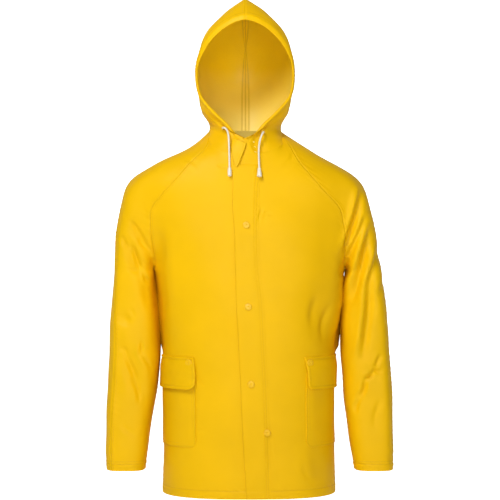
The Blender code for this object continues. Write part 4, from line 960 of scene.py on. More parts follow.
def distances(points):
    """Distances to a grid's four edges: bottom, top, first and last column."""
    up, across = walked(points, 0), walked(points, 1)
    return up, up[-1:] - up, across, across[:, -1:] - across


def bell(distance, width):
    """exp(-(d/w)^2): one at no distance, little beyond the width."""
    return np.exp(-((distance / width) ** 2))


def ease(share):
    """Smooth step: 0 below 0, 1 above 1, 3s^2 - 2s^3 between."""
    share = np.clip(share, 0.0, 1.0)
    return share * share * (3 - 2 * share)


# ---- how the cloth lies
SEAM_PINCH = 0.0011
PINCH_WIDTH = 0.0018
SEAM_TURNING = 0.0007
TURNING_REACH = 0.004
TOPSTITCH = 0.006
TOPSTITCH_DRAW = 0.0005
TOPSTITCH_WIDTH = 0.0014
HEM_DEPTH = 0.0175
HEM_TURNING = 0.0007
HEM_DRAW = 0.001
CUFF_DEPTH = 0.0205
CUFF_LINES = 0.0055  # between a cuff's two rows of stitches
CUFF_DRAW = 0.0007
SEAM_WIDTH = 0.00006  # left between two panels: too little for light to show
# reach of the painted shade beside seams, stitch rows and the edges of layers
SEAM_SHADE_WIDTH = 0.003
STITCH_SHADE = 0.0008  # the least distance that a row of stitches counts as, so that its painted shade is lighter
UNDERARM_OUT = 0.2117
CALM_RADIUS = 0.004
CALM_REACH = 0.018
SWELL_LEFT = 0.0105  # how far the coat's sides swell towards the arms
SWELL_LEFT_LOW = 0.0015  # and how much more at the left, low down
SWELL_RIGHT = 0.0078
SWELL_TOP = -0.262
SWELL_BOTTOM = -0.452
SWELL_BACK = 0.038  # middle of the swelling, behind the coat's middle and outwards
SWELL_OUT = 0.195
FULLER_FROM = 0.205  # from here outwards the sleeves' folds are fuller, or slighter at the left front
FULLER_REACH = 0.015


def seam_rise(distance):
    """Beside a seam: pinched at the seam, raised by the turned cloth below, drawn in at the topstitch."""
    turning = SEAM_TURNING * ease((TOPSTITCH + TURNING_REACH - distance) / TURNING_REACH)
    drawn = TOPSTITCH_DRAW * bell(distance - TOPSTITCH, TOPSTITCH_WIDTH)
    return turning - SEAM_PINCH * bell(distance, PINCH_WIDTH) - drawn


def hem_rise(distance, depth=HEM_DEPTH):
    """A turned-up edge: twice the cloth up to its stitches, which draw it in."""
    turning = HEM_TURNING * ease((depth + 0.002 - distance) / 0.003)
    return turning - HEM_DRAW * bell(distance - depth, PINCH_WIDTH)


def calm(points):
    """Nothing at the underarm, where four seams meet, and one away from it."""
    x, _, z = xyz(points)
    return ease((np.hypot(np.abs(x) - UNDERARM_OUT, z - UNDERARM) - CALM_RADIUS) / CALM_REACH)


def pucker(points, distance, size, reach):
    """Small waves that stitches draw into the cloth, fading away from them."""
    x, y, z = xyz(points)
    wave = np.sin(2 * math.pi * (z * 84 + x * 51 + y * 33) + 1.9 * np.sin(z * 57 + x * 31))
    slow = 0.6 + 0.4 * np.sin(z * 34 - x * 27 + 1.1)
    return size * wave * slow * calm(points) * np.exp(-distance / reach)


def drape(points):
    """Broad, shallow unevenness of the whole coat."""
    x, y, z = xyz(points)
    rise = 0.0009 * np.sin(31 * x + 9 * z + 0.6) * np.sin(17 * z - 7 * x + 21 * y + 1.9)
    rise += 0.0006 * np.sin(53 * z + 24 * x - 15 * y + 0.3) * np.sin(38 * x - 19 * z + 2.2)
    return rise


CREASES = rows_of(
    FOLD,
    (0.2915, -0.4787, 0.2683, -0.4854, 0.0094, 0.0036, 0),
    (0.2715, -0.483, 0.2553, -0.5034, 0.01, 0.0042, 0),
    (0.258, -0.499, 0.2417, -0.5416, 0.0106, 0.004, 0),
    (0.243, -0.536, 0.2329, -0.5726, 0.0094, 0.0026, 0),
    (0.2958, -0.445, 0.2683, -0.4763, 0.01, 0.0028, 0),
    (0.2869, -0.5373, 0.2726, -0.6093, 0.0125, 0.0016, 0),
    (0.298, -0.265, 0.286, -0.335, 0.0112, 0.0014, 0),
    (-0.2508, -0.1551, -0.2346, -0.1876, 0.0081, 0.002, 0),
    (-0.237, -0.182, -0.2129, -0.2254, 0.0088, 0.0026, 0),
    (-0.2346, -0.1681, -0.2075, -0.233, 0.0075, 0.0018, 0),
    (-0.2752, -0.1897, -0.2508, -0.22, 0.0088, 0.002, 0),
    (-0.2562, -0.2038, -0.2238, -0.2633, 0.0094, 0.0026, 0),
    (-0.226, -0.259, -0.2075, -0.2957, 0.0088, 0.0024, 0),
    (-0.2616, -0.2633, -0.2346, -0.2633, 0.0075, 0.0016, 0),
    (-0.26, -0.348, -0.238, -0.362, 0.01, 0.0014, 0),
    (-0.2746, -0.4292, -0.2566, -0.4471, 0.0094, 0.0022, 0),
    (-0.259, -0.443, -0.2408, -0.5055, 0.01, 0.0024, 0),
    (-0.243, -0.499, -0.2296, -0.5509, 0.0094, 0.002, 0),
    (-0.2318, -0.4147, -0.224, -0.4471, 0.0088, 0.0022, 0),
    (-0.2255, -0.442, -0.2069, -0.4832, 0.0081, 0.0018, 0),
    (-0.27, -0.59, -0.242, -0.625, 0.0112, 0.0012, 0),
    (0.02, -0.164, 0.035, -0.13, 0.006, 0.0012, 0),
    (0.03, -0.15, 0.056, -0.142, 0.007, 0.0007, 0),
    (-0.135, -0.018, -0.1, -0.046, 0.009, 0.0012, 0),
    (0.105, -0.012, 0.076, -0.042, 0.009, 0.0012, 0),
    (-0.065, -0.038, -0.04, -0.044, 0.006, 0.0012, 0),
    (0.156, -0.315, 0.132, -0.39, 0.016, 0.002, 0),
    (0.178, -0.33, 0.164, -0.42, 0.012, 0.0022, 0),
    (-0.125, -0.495, -0.085, -0.508, 0.012, 0.001, 0),
    (-0.105, -0.59, -0.07, -0.615, 0.013, 0.0009, 0),
    (0.115, -0.672, 0.142, -0.718, 0.013, 0.0016, 0),
    (0.042, -0.61, 0.056, -0.69, 0.012, 0.0009, 0),
    (0.265, -0.165, 0.225, -0.245, 0.009, 0.0032, 1),
    (0.275, -0.23, 0.233, -0.3, 0.009, 0.003, 1),
    (0.28, -0.305, 0.245, -0.37, 0.008, 0.0022, 1),
    (0.29, -0.445, 0.25, -0.505, 0.009, 0.0032, 1),
    (0.255, -0.495, 0.238, -0.56, 0.008, 0.0026, 1),
    (-0.265, -0.165, -0.222, -0.235, 0.009, 0.0028, 1),
    (-0.276, -0.25, -0.23, -0.315, 0.009, 0.0028, 1),
    (-0.29, -0.465, -0.245, -0.535, 0.009, 0.003, 1),
    (-0.25, -0.525, -0.238, -0.58, 0.008, 0.002, 1),
    (0.105, -0.115, 0.165, -0.19, 0.015, 0.0018, 1),
    (-0.095, -0.125, -0.16, -0.205, 0.015, 0.0018, 1),
    (-0.08, -0.405, 0.005, -0.425, 0.018, 0.0016, 1),
    (0.05, -0.46, 0.12, -0.44, 0.018, 0.0016, 1),
)
DROPS = rows_of(
    FOLD,
    (0.2478, -0.0816, 0.2013, -0.233, 0.0068, 0.0066, 0),
    (0.2532, -0.1421, 0.2078, -0.2503, 0.0062, 0.0058, 0),
    (0.2683, -0.1573, 0.2088, -0.3541, 0.0084, 0.008, 0),
    (0.2791, -0.207, 0.2575, -0.3065, 0.0074, 0.006, 0),
    (0.26, -0.285, 0.244, -0.46, 0.0084, 0.0068, 0),
)
HOLLOWS = rows_of(  # and, with a depth below nothing, fuller places
    FOLD,
    (0.277, -0.22, 0.2975, -0.4147, 0.014, -0.004, 0),
    (0.2964, -0.393, 0.3073, -0.6526, 0.014, -0.004, 0),
    (-0.2768, -0.1876, -0.2897, -0.4363, 0.012, -0.003, 0),
    (-0.2897, -0.4147, -0.2941, -0.6526, 0.012, -0.003, 0),
    (0.1959, -0.1443, 0.1926, -0.3757, 0.018, -0.004, 0),
    (0.15, -0.3, 0.185, -0.425, 0.026, 0.006, 0),
    (-0.194, -0.195, -0.186, -0.43, 0.017, 0.006, 0),
    (0.156, -0.52, 0.165, -0.63, 0.02, 0.003, 0),
    (0.145, -0.65, 0.165, -0.73, 0.02, 0.004, 0),
)


def along_and_across(points, fold):
    """Share of the way along a fold's line, and the distance from the line over the fold's width."""
    ahead = np.array([fold.out2 - fold.out1, fold.height2 - fold.height1])
    length = np.hypot(*ahead)
    ahead /= length
    x, z = points[..., 0] - fold.out1, points[..., 2] - fold.height1
    along = (x * ahead[0] + z * ahead[1]) / length
    bend = 0.25 * np.sin(along * 5.0 + fold.height1 * 90)
    return along, (x * ahead[1] - z * ahead[0]) / fold.width + bend


def drop_rise(points):
    """Across a drop the cloth falls from a ridge to a trough.

    The rise is 1.65 s exp(-s^2/2), s being the distance over the drop's width.
    """
    rise = np.zeros(points.shape[:-1])
    for drop in DROPS:
        along, s = along_and_across(points, drop)
        ends = np.clip(1.3 * np.sin(math.pi * np.clip(along, 0.0, 1.0)) ** 0.9, 0.0, 1.0)
        rise += drop.depth * 1.65 * s * np.exp(-(s**2) / 2) * ends * seen_from(points, drop)
    return rise


def crease_rise(points):
    """Creases: each a narrow trough with a firm ridge beside it and a slight one on its other side.

    Across a crease, s being the distance over its width: -exp(-(s/0.45)^2) + 0.45 exp(-((s-0.95)/0.5)^2)
    + 0.2 exp(-((s+0.9)/0.4)^2), and along it 1.4 times the sine of its share to the power of 1.1.
    """
    rise = np.zeros(points.shape[:-1])
    for crease in CREASES:
        along, s = along_and_across(points, crease)
        ends = 1.4 * np.sin(math.pi * np.clip(along, 0.0, 1.0)) ** 1.1
        section = 0.45 * bell(s - 0.95, 0.5) + 0.2 * bell(s + 0.9, 0.4) - bell(s, 0.45)
        rise += crease.depth * ends * seen_from(points, crease) * section
    return rise


def hanging_rise(points):
    """Behind its middle the coat's side swells towards the arm that hangs against it."""
    x, y, z = xyz(points)
    size = np.where(x > 0, SWELL_LEFT + SWELL_LEFT_LOW * ease((-0.3 - z) / 0.12), SWELL_RIGHT)
    size = size * ease((z - SWELL_BOTTOM) / 0.022) * ease((SWELL_TOP - z) / 0.02)
    return size * bell(y - SWELL_BACK, 0.026) * bell(np.abs(x) - SWELL_OUT, 0.03)


def laid(panel, rise):
    """A panel's points moved out along its own directions."""
    return panel.points + panel.outward * rise[..., None]


def common_rise(points):
    """Folds, hollows, drops, creases and unevenness, which every panel has where they pass over it."""
    x, y, _ = xyz(points)
    size = np.where((x > 0) & (y < 0), -0.55, 0.8)
    fuller = 1 + size * ease((np.abs(x) - FULLER_FROM) / FULLER_REACH)
    broad = fold_rise(points) * fuller + fold_rise(points, HOLLOWS)
    return (broad + drop_rise(points) + crease_rise(points)) * calm(points) + drape(points)


# ---- the coat's panels, once
SEAM_CUTS = (0.035, 0.07, 0.11, 0.15, 0.19, 0.23, 0.28, 0.34, 0.42, 0.52, 0.64, 0.8)
EDGE_CUTS = (0.02, 0.07, 0.15, 0.24, 0.3, 0.34, 0.37, 0.4, 0.44, 0.5, 0.6, 0.73, 0.86)
CUFF_CUTS = (0.02, 0.08, 0.18, 0.3, 0.38, 0.43, 0.47, 0.5, 0.54, 0.6, 0.7, 0.85)
PARTS = 7
FINE_PARTS = 10  # where the sleeves' creases are seen
BODY_ROWS = counts(24, PARTS, EDGE_CUTS, (0.08, 0.18, 0.3, 0.45, 0.6, 0.8))
SLEEVE_ROWS = {
    at_back: counts(24, parts, CUFF_CUTS, (0.08, 0.18, 0.3, 0.45, 0.6, 0.8))
    for at_back, parts in ((False, FINE_PARTS), (True, PARTS))
}


def settled(panel, below):
    """Just above the underarm, where splines cut across the coat's corner, back onto its form.

    Each step goes along the normal by the distance over its slope; the form changes from below's to the
    shoulder's.
    """
    corner = len(BODY_HEIGHTS) - 1
    rows = np.nonzero((panel.rows > corner) & (panel.rows < corner + 2))[0]
    share = np.clip(panel.rows[rows] - corner, 0.0, 1.0)[:, None]
    points, outward = panel.points.copy(), panel.outward.copy()
    at = points[rows, 1:-1]

    def distance(place):
        return below(place) * (1 - share) + shoulder_distance(place) * share

    reach = 0.0005
    for _ in range(5):
        normal = normals(distance, at)
        slope = (distance(at + normal * reach) - distance(at - normal * reach)) / (2 * reach)
        at = at - normal * np.clip(distance(at) / np.maximum(slope, 0.3), -0.004, 0.004)[..., None]
    points[rows, 1:-1] = at
    outward[rows, 1:-1] = normals(distance, at)
    return panel._replace(points=points, outward=outward)


def creased(panel, seam, up, rise=0.0, depth=HEM_DEPTH, size=0.0005, reach=0.01):
    """A panel's surface with its creases, hem and puckers, the distances from its lines, and from its hem."""
    hem_line = np.abs(up - depth)
    rise = common_rise(panel.points) + rise + seam_rise(seam) + hem_rise(up, depth)
    rise += pucker(panel.points, seam, size, reach) + pucker(panel.points, hem_line, 0.0006, 0.01)
    if depth == CUFF_DEPTH:
        rise -= CUFF_DRAW * bell(up - CUFF_DEPTH + CUFF_LINES, 0.0016)
        hem_line = np.minimum(hem_line, np.abs(up - CUFF_DEPTH + CUFF_LINES))
    # the hem's stitch rows join the seams in the distances by which the finish paints shade
    return panel._replace(points=laid(panel, rise)), np.minimum(seam, hem_line + STITCH_SHADE), up


@functools.cache
def front(side):
    """A front's fine surface, from its front edge to its side and raglan seams."""
    cuts = ((), SEAM_CUTS) if side > 0 else (SEAM_CUTS, ())
    cornered = (FRONT_TURNS if side > 0 else 0,)
    wide = fine_panel(*wide_front(side), BODY_ROWS, counts(FRONT_TURNS, PARTS, *cuts), cornered)
    panel = settled(wide, body_distance)
    up, _, first, last = distances(panel.points)
    return creased(panel, last if side > 0 else first, up, hanging_rise(panel.points))


@functools.cache
def back():
    """The back's fine surface, with a side and a raglan seam at either side."""
    cols = counts(BACK_TURNS, PARTS - 1, SEAM_CUTS, SEAM_CUTS)
    panel = settled(fine_panel(*wide_back(), BODY_ROWS, cols, (0, BACK_TURNS)), body_distance)
    up, _, first, last = distances(panel.points)
    return creased(panel, np.minimum(first, last), up, hanging_rise(panel.points))


@functools.cache
def sleeve(side, at_back):
    """Half a sleeve's fine surface, from its raglan and underarm seams to its overarm seam."""
    inner = SLEEVE_TURNS if (side > 0) == at_back else 0
    cols = counts(SLEEVE_TURNS, PARTS if at_back else FINE_PARTS, SEAM_CUTS, SEAM_CUTS)
    wide = fine_panel(*wide_sleeve(side, at_back), SLEEVE_ROWS[at_back], cols, (inner,))
    panel = settled(wide, arm_distance)
    up, _, first, last = distances(panel.points)
    return creased(panel, np.minimum(first, last), up, depth=CUFF_DEPTH, size=0.0008, reach=0.011)


def low_in_hood(points):
    """One at the throat, where the drawn cord gathers the hood, and nothing above it."""
    return ease((HOOD_LOW - points[..., 2]) / HOOD_LOW_REACH)


@functools.cache
def hood(side):
    """Half the hood's fine surface; its last row and the column at its back are the centre seam."""
    points, outward = wide_hood(side, hood_neck_turns(side, wide_front(side)[0][-1]))
    columns = points.shape[1] - 1
    rim_cuts, seam_cuts = (0.06, 0.14, 0.25, 0.4, 0.55, 0.7, 0.85), (0.12, 0.25, 0.4, 0.6, 0.8)
    cuts = (rim_cuts, seam_cuts) if side > 0 else (seam_cuts, rim_cuts)
    rows = counts(HOOD_ROWS, PARTS, (), SEAM_CUTS)
    panel = fine_panel(points, outward, rows, counts(columns, 4, *cuts))
    up, down, first, last = distances(panel.points)
    centre = np.minimum(last if side > 0 else first, down)
    past = (first if side > 0 else last) - CASING_WIDTH
    low = low_in_hood(panel.points)
    sunk = HOOD_SINK[side] * low * ease(past / 0.004) * ease(1 - past / 0.04) * ease(up / 0.014)
    rise = drape(panel.points) * 0.8 + seam_rise(centre) - sunk
    rise += pucker(panel.points, centre, 0.0004, 0.008)
    rise += pucker(panel.points, np.abs(past), 0.0006 * low, 0.012)
    return panel._replace(points=laid(panel, rise)), centre, centre


# ---- meshes
def grid_quads(index):
    """Quads of a grid of vertex numbers, turned the same way."""
    return np.stack([index[:-1, :-1], index[:-1, 1:], index[1:, 1:], index[1:, :-1]], axis=-1).reshape(-1, 4)


def new_piece(name, vertices, faces, materials, face_material=None, angle=50):
    """An object from arrays of vertices and of faces that all have the same number of corners."""
    corners = vertices[faces[:, :3]]
    volume = np.einsum("ij,ij->", corners[:, 0], np.cross(corners[:, 1], corners[:, 2]))
    if volume < 0:
        faces = faces[:, ::-1]
    count, sides = faces.shape
    mesh = bpy.data.meshes.new(name)
    mesh.vertices.add(len(vertices))
    mesh.vertices.foreach_set("co", vertices.astype(np.float32).ravel())
    mesh.loops.add(count * sides)
    mesh.loops.foreach_set("vertex_index", faces.astype(np.int32).ravel())
    mesh.polygons.add(count)
    mesh.polygons.foreach_set("loop_start", np.arange(0, count * sides, sides, dtype=np.int32))
    for material in materials:
        mesh.materials.append(material)
    if face_material is not None:
        mesh.polygons.foreach_set("material_index", face_material.astype(np.int32))
    mesh.update(calc_edges=True)
    mesh.validate()
    mesh.shade_smooth()
    mesh.set_sharp_from_angle(angle=math.radians(angle))
    piece = bpy.data.objects.new(name, mesh)
    bpy.context.scene.collection.objects.link(piece)
    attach(piece, "root")
    return piece


def add_vertex_values(piece, name, values):
    """A number kept at each of a mesh's points, for its finish to read."""
    attribute = piece.data.attributes.new(name, "FLOAT", "POINT")
    attribute.data.foreach_set("value", values.astype(np.float32).ravel())


def wall(name, outer, inner, seam, materials=None, inner_seam=None):
    """Closed wall between two grids: its outside, its inside in the second material, and its rim."""
    rows, cols = outer.shape[:2]
    index = np.arange(rows * cols).reshape(rows, cols)
    loop = np.concatenate([index[0, :-1], index[:-1, -1], index[-1, :0:-1], index[:0:-1, 0]])
    following = np.roll(loop, -1)
    outside = grid_quads(index)
    rim = np.stack([loop, loop + rows * cols, following + rows * cols, following], axis=-1)
    faces = np.concatenate([outside, outside[:, ::-1] + rows * cols, rim])
    chosen = np.repeat([0, 1, 0], [len(outside), len(outside), len(rim)])
    vertices = np.concatenate([outer.reshape(-1, 3), inner.reshape(-1, 3)])
    piece = new_piece(name, vertices, faces, materials or (coated_cloth(), cloth_inside()), chosen)
    inner_seam = seam if inner_seam is None else inner_seam
    # the finishes paint shade near seams by these distances
    add_vertex_values(piece, "seam_distance", np.concatenate([seam.ravel(), inner_seam.ravel()]))
    return piece


def narrowed(points):
    """A grid's edges drawn in by half a seam gap."""
    points = points.copy()
    for edge, inner in ((0, 1), (-1, -2)):
        points[edge] += unit(points[inner] - points[edge]) * SEAM_WIDTH / 2
    for edge, inner in ((0, 1), (-1, -2)):
        points[:, edge] += unit(points[:, inner] - points[:, edge]) * SEAM_WIDTH / 2
    return points


def meeting(points, side):
    """Half a hood whose centre seam reaches a little past the middle, so that no light comes through."""
    points = points.copy()
    points[:, -1 if side > 0 else 0, 0] = HOOD_LEAN - side * HOOD_LAP
    points[-1, :, 0] = HOOD_LEAN - side * HOOD_LAP
    return points


def sewn(piece, node):
    """Hides the imported node that a piece of cloth stands for."""
    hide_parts(node)


def cloth_panel(name, made):
    """A panel as a thin closed wall, doubled up to its hem stitches."""
    panel, seam, up = made
    cloth = bpy.context.scene.raincoat_cloth
    thickness = cloth.thickness * (1 + ease((HEM_DEPTH - up) / 0.002))
    outer = narrowed(panel.points)
    piece = wall(name + "_cloth", outer, outer - panel.outward * thickness[..., None], seam)
    sewn(piece, name)


def rounded_edge(distance, radius):
    """Height of a layer's edge: a quarter circle up to the radius, then level."""
    share = np.clip(distance / radius, 0.0, 1.0)
    return np.sqrt(1 - (1 - share) ** 2)


def layer_cuts(number, parts, share=0.02):
    """Counts across a layer, closer at both its edges."""
    near = share * np.array((0, 1, 2.5, 5, 8, 12))
    at = np.linspace(0.0, number, number * parts + 1)
    at = at[(at > near[-1] * 1.1) & (at < number - near[-1] * 1.1)]
    return np.concatenate([near, at, number - near[::-1]])


LAYERS = {}  # the outer surfaces of the layers built so far, for their stitches
LAYER_ROUNDING = 0.0014  # radius of a layer's edges


def cloth_layer(name, base, outward, lift, thickness, seam=None):
    """A piece that lies on another: lifted off it, with rounded edges."""
    edge = np.minimum.reduce(distances(base))
    inner = base + outward * lift[..., None]
    outer = inner + outward * (thickness * (0.35 + 0.65 * rounded_edge(edge, LAYER_ROUNDING)))[..., None]
    # the finish paints shade by these distances: along the layer's edges, unless other lines are given
    piece = wall(name + "_cloth", outer, inner, edge if seam is None else seam)
    sewn(piece, name)
    LAYERS[name] = (outer, outward)


# ---- layers on the fronts
@functools.cache
def flap_surface():
    """The storm flap's underside: the strip between the right front's edge and the stitches."""
    left, left_out = wide_front(1)
    right, right_out = wide_front(-1)
    points = np.concatenate([right[:-1, -2:-1], left[:-1, :2]], axis=1)
    outward = np.concatenate([right_out[:-1, -2:-1], left_out[:-1, :2]], axis=1)
    rows = counts(len(points) - 1, PARTS, EDGE_CUTS)
    cols = np.array([0, 0.01, 0.03, 0.06, 0.11, 0.18, 0.27, 0.4, 0.55, 0.7, 0.85, 1, 1.15, 1.3, 1.42, 1.5])
    sewn_cols = [1.56, 1.61, 1.66, 1.7, 1.73, 1.76, 1.79, 1.82, 1.85, 1.89, 1.93, 1.97, 2.0]
    panel = fine_panel(points, outward, rows, np.concatenate([cols, sewn_cols]))
    return panel._replace(points=laid(panel, common_rise(panel.points)))


def build_storm_flap():
    """The flap: its free edge stands off a little, unevenly, and its sewn edge sinks into the front."""
    panel = flap_surface()
    up, _, first, last = distances(panel.points)
    z = panel.points[..., 2]
    free = bell(first, 0.016)
    lift = LAYER_GAP + free * (0.0008 + 0.0006 * np.sin(z * 29 + 0.8)) + hem_rise(up) * 0.6
    lines = bell(last - FLY_SELVEDGE, 0.0013) + bell(last - FLY_SELVEDGE - FLAP_LINES, 0.0013)
    thickness = FLAP * (0.12 + 0.88 * ease(last / 0.015)) - 0.0004 * lines
    thickness = thickness + pucker(panel.points, np.abs(last - 0.0075), 0.0003, 0.006)
    # painted shade along the flap's free edge
    cloth_layer("storm_flap", panel.points, panel.outward, lift, thickness, first)


def on_front(side, v, u):
    """Points and directions of a front at counts of rows, and of columns from the front edge."""
    panel = front(side)[0]
    u = u if side > 0 else FRONT_TURNS - u
    at = (panel.rows, panel.cols, v, u)
    return read_grid(panel.points, *at), unit(read_grid(panel.outward, *at))


def rounded_corner(across, up, width, height, radius):
    """Shares of a patch whose corner at (0, 0) is round: the square there is squeezed to a quarter disc."""
    a, b = (radius - across * width) / radius, (radius - up * height) / radius
    inside = (a > 0) & (b > 0)
    a, b = np.where(inside, a, 1.0), np.where(inside, b, 1.0)
    squeeze = np.maximum(a, b) / np.hypot(a, b)
    rounded_a = (radius - a * squeeze * radius) / width
    rounded_b = (radius - b * squeeze * radius) / height
    return np.where(inside, rounded_a, across), np.where(inside, rounded_b, up)


def patch_on_front(side, heights, height, radius, parts, taper=0.0):
    """A patch between two heights, from the pocket's inner edge to just before the side seam."""
    low, high = (BODY_HEIGHTS.index(row) for row in heights)
    up = layer_cuts(1, parts[0], 0.008)[:, None]
    across = layer_cuts(1, parts[1], 0.008)[None, :]
    up, across = np.broadcast_arrays(up, across)
    across, up = rounded_corner(across, up, POCKET_WIDTH, height, radius)
    columns = POCKET_COLUMN + (POCKET_SPAN - taper * up) * across
    return *on_front(side, low + (high - low) * up, columns), up, across


def build_pocket(word, side):
    """A patch pocket, a little full, and its flap, whose lower lip stands off and curls forward."""
    heights = (POCKET_BOTTOM, POCKET_TOP)
    points, outward, up, across = patch_on_front(side, heights, POCKET_HEIGHT, POCKET_CORNER, (50, 40))
    full = np.sin(math.pi * np.clip(across, 0, 1)) ** 0.6 * ease(up * 3)
    lift = LAYER_GAP + (0.0012 + 0.0016 * up) * full
    up_edge, _, first, _ = distances(points)
    edge = np.minimum(up_edge, first)
    seam = 0.0009 * sum(bell(edge - line, 0.0013) for line in POCKET_LINES)
    thickness = 0.0018 - seam + pucker(points, np.abs(edge - 0.006), 0.0004, 0.007)
    # painted shade along the pocket's outer row of stitches
    cloth_layer("pocket_" + word, points, outward, lift, thickness, np.abs(edge - POCKET_LINES[0]) + 0.0006)
    heights = (POCKET_FLAP_BOTTOM, POCKET_FLAP_TOP)
    size = (POCKET_FLAP_HEIGHT, POCKET_FLAP_CORNER, (40, 40), POCKET_FLAP_TAPER[side])
    points, outward, up, across = patch_on_front(side, heights, *size)
    fall = 1 - up
    forward = 1 - ease((across - 0.45) / 0.5)
    lift = LAYER_GAP + (POCKET_CLOTH + 0.0026) * ease(fall * 2.2) + POCKET_FLARE * fall**1.5 * across**3
    lift = lift + forward * (0.003 * fall**2 + 0.0022 * fall**8) + 0.0012 * bell(across, 0.1) * fall
    lift = lift + 0.0007 * fall * np.sin(across * 9 + 0.7 * side + 1.0)
    up_edge, down_edge, first, _ = distances(points)
    edge = np.minimum(np.minimum(up_edge, first), down_edge)
    ridge = 0.0009 * bell(down_edge - 0.0022, 0.002)
    thickness = 0.002 + ridge - 0.0007 * bell(edge - POCKET_FLAP_LINE, 0.0014)
    thickness = thickness + pucker(points, np.abs(edge - 0.005), 0.0004, 0.006)
    # painted shade along the flap's row of stitches
    seam = np.abs(edge - POCKET_FLAP_LINE) + 0.0006
    cloth_layer("pocket_flap_" + word, points, outward, lift, thickness, seam)


def build_throat_tab():
    """The overlap's corner at the throat, bowed forward along its free edge."""
    points, outward = throat_grid()
    rows, cols = layer_cuts(4, 6, 0.03), layer_cuts(4, 5, 0.04)
    panel = fine_panel(points, outward, rows, cols)
    _, down, _, last = distances(panel.points)
    lift = THROAT_TAB_LIFT - 0.0012 + 0.0012 * bell(last, 0.008) + 0.0005 * np.sin(panel.points[..., 2] * 90)
    thickness = 0.0018 - 0.0005 * bell(np.minimum(last, down) - 0.004, 0.0012)
    cloth_layer("throat_tab", panel.points, panel.outward, lift, thickness)


def build_casing(word, side):
    """The drawcord casing: a strip folded over the hood's rim, fuller where the cord runs.

    Its section goes down the outside to the rim, round a half circle and back up the inside.
    """
    panel = hood(side)[0]
    cloth = bpy.context.scene.raincoat_cloth
    columns = panel.cols[-1]
    v = counts(HOOD_ROWS - 1, 12)[:, None] + 1.0
    outside = np.array([1, 0.985, 0.95, 0.9, 0.82, 0.72, 0.6, 0.48, 0.36, 0.25, 0.15, 0.07, 0.0])
    turn = np.linspace(0, math.pi, 9)[1:-1]
    u = np.concatenate([outside, np.zeros(len(turn)), outside[::-1]])[None, :]
    around = np.concatenate([np.zeros(len(outside)), turn, np.full(len(outside), math.pi)])[None, :]
    v, u, around = np.broadcast_arrays(v, u, around)

    def read(values, u):
        return read_grid(values, panel.rows, panel.cols, v, u if side > 0 else columns - u)

    points, outward = read(panel.points, u), unit(read(panel.outward, u))
    away = unit(read(panel.points, np.zeros(v.shape)) - read(panel.points, np.full(v.shape, 0.3)))
    base = points - outward * cloth.thickness * (around / math.pi)[..., None]
    facing = np.cos(around)[..., None] * outward + np.sin(around)[..., None] * away
    cord = bell(u - 0.45, 0.26)
    gathers = 0.0004 * np.sin(v * 21 + 0.9 * np.sin(v * 7)) * (0.4 + 0.6 * np.sin(v * 2.3 + side))
    low = low_in_hood(points) * ease(np.cos(around))
    thickness = 0.0006 + 0.0016 * cord + gathers * cord - 0.0004 * bell(u - CASING_LINE, 0.05)
    thickness = thickness * (0.45 + 0.55 * rounded_edge(1.0 - u, 0.05))
    inner = base + facing * (LAYER_GAP + 0.0016 * low * u**2)[..., None]
    outer = inner + facing * thickness[..., None]
    name = "hood_casing_" + word
    # painted shade along the casing's row of stitches
    seam = np.abs(CASING_LINE - u) * CASING_WIDTH + STITCH_SHADE
    piece = wall(name + "_cloth", outer, inner, seam, (coated_cloth(), coated_cloth()))
    sewn(piece, name)
    LAYERS[name] = (outer, facing)


# ---- stitches
def evenly(points, outward, pitch):
    """Places, directions along and outward directions at even steps along a line."""
    gone = walked(points[:, None], 0)[:, 0]
    middle = np.arange(pitch / 2, gone[-1], pitch)

    def read(values, at):
        return np.stack([np.interp(at, gone, values[:, axis]) for axis in range(3)], axis=-1)

    along = unit(read(points, middle + pitch / 4) - read(points, middle - pitch / 4))
    return read(points, middle), along, unit(read(outward, middle))


def build_stitches(name, lines):
    """Rows of thread stitches as one mesh: each is a spindle of two rings of four points and two tips."""
    sewing = bpy.context.scene.raincoat_stitching
    half, thick = sewing.length / 2, sewing.thread / 2
    ring = np.array([(0.0, 1.0), (1.0, 0.3), (0.0, -0.6), (-1.0, 0.3)]) * thick
    rings = [np.column_stack([np.full(4, end * 0.55), ring]) for end in (-half, half)]
    template = np.concatenate([[(-half, 0.0, -thick)], *rings, [(half, 0.0, -thick)]])
    corner = np.arange(4)
    after = (corner + 1) % 4
    triangles = (
        (np.zeros(4, int), 1 + after, 1 + corner),
        (1 + corner, 1 + after, 5 + after),
        (1 + corner, 5 + after, 5 + corner),
        (np.full(4, 9), 5 + corner, 5 + after),
    )
    faces = np.concatenate([np.stack(corners, axis=-1) for corners in triangles])
    places = [evenly(points, outward, sewing.pitch) for points, outward in lines]
    place, along, facing = (np.concatenate(parts) for parts in zip(*places, strict=True))
    side = unit(np.cross(facing, along))
    ways = (along, side, np.cross(along, side))
    vertices = place[:, None] + sum(template[:, axis, None] * way[:, None] for axis, way in enumerate(ways))
    number = np.arange(len(place))[:, None, None] * len(template)
    faces = (faces[None] + number).reshape(-1, 3)
    piece = new_piece(name, vertices.reshape(-1, 3), faces, (thread(),), angle=60)


def beside_edge(surface, edge, distance, axis):
    """A line on a surface at a distance from its first (edge 0) or last (edge -1) row or column."""
    points, outward = surface[:2]
    if axis == 0:
        points, outward = points.transpose(1, 0, 2), outward.transpose(1, 0, 2)
    if edge == -1:
        points, outward = points[:, ::-1], outward[:, ::-1]
    gone = walked(points, 1)
    cell = np.clip(np.argmax(gone > distance, axis=1) - 1, 0, points.shape[1] - 2)
    row = np.arange(len(points))
    share = ((distance - gone[row, cell]) / (gone[row, cell + 1] - gone[row, cell]))[:, None]
    place = points[row, cell] * (1 - share) + points[row, cell + 1] * share
    return place, unit(outward[row, cell] * (1 - share) + outward[row, cell + 1] * share)


# ---- hardware
def tube_quads(rings, sides):
    """Quads of rings of points that follow each other, each closed."""
    index = np.arange(rings * sides).reshape(rings, sides)
    return grid_quads(np.concatenate([index, index[:, :1]], axis=1))


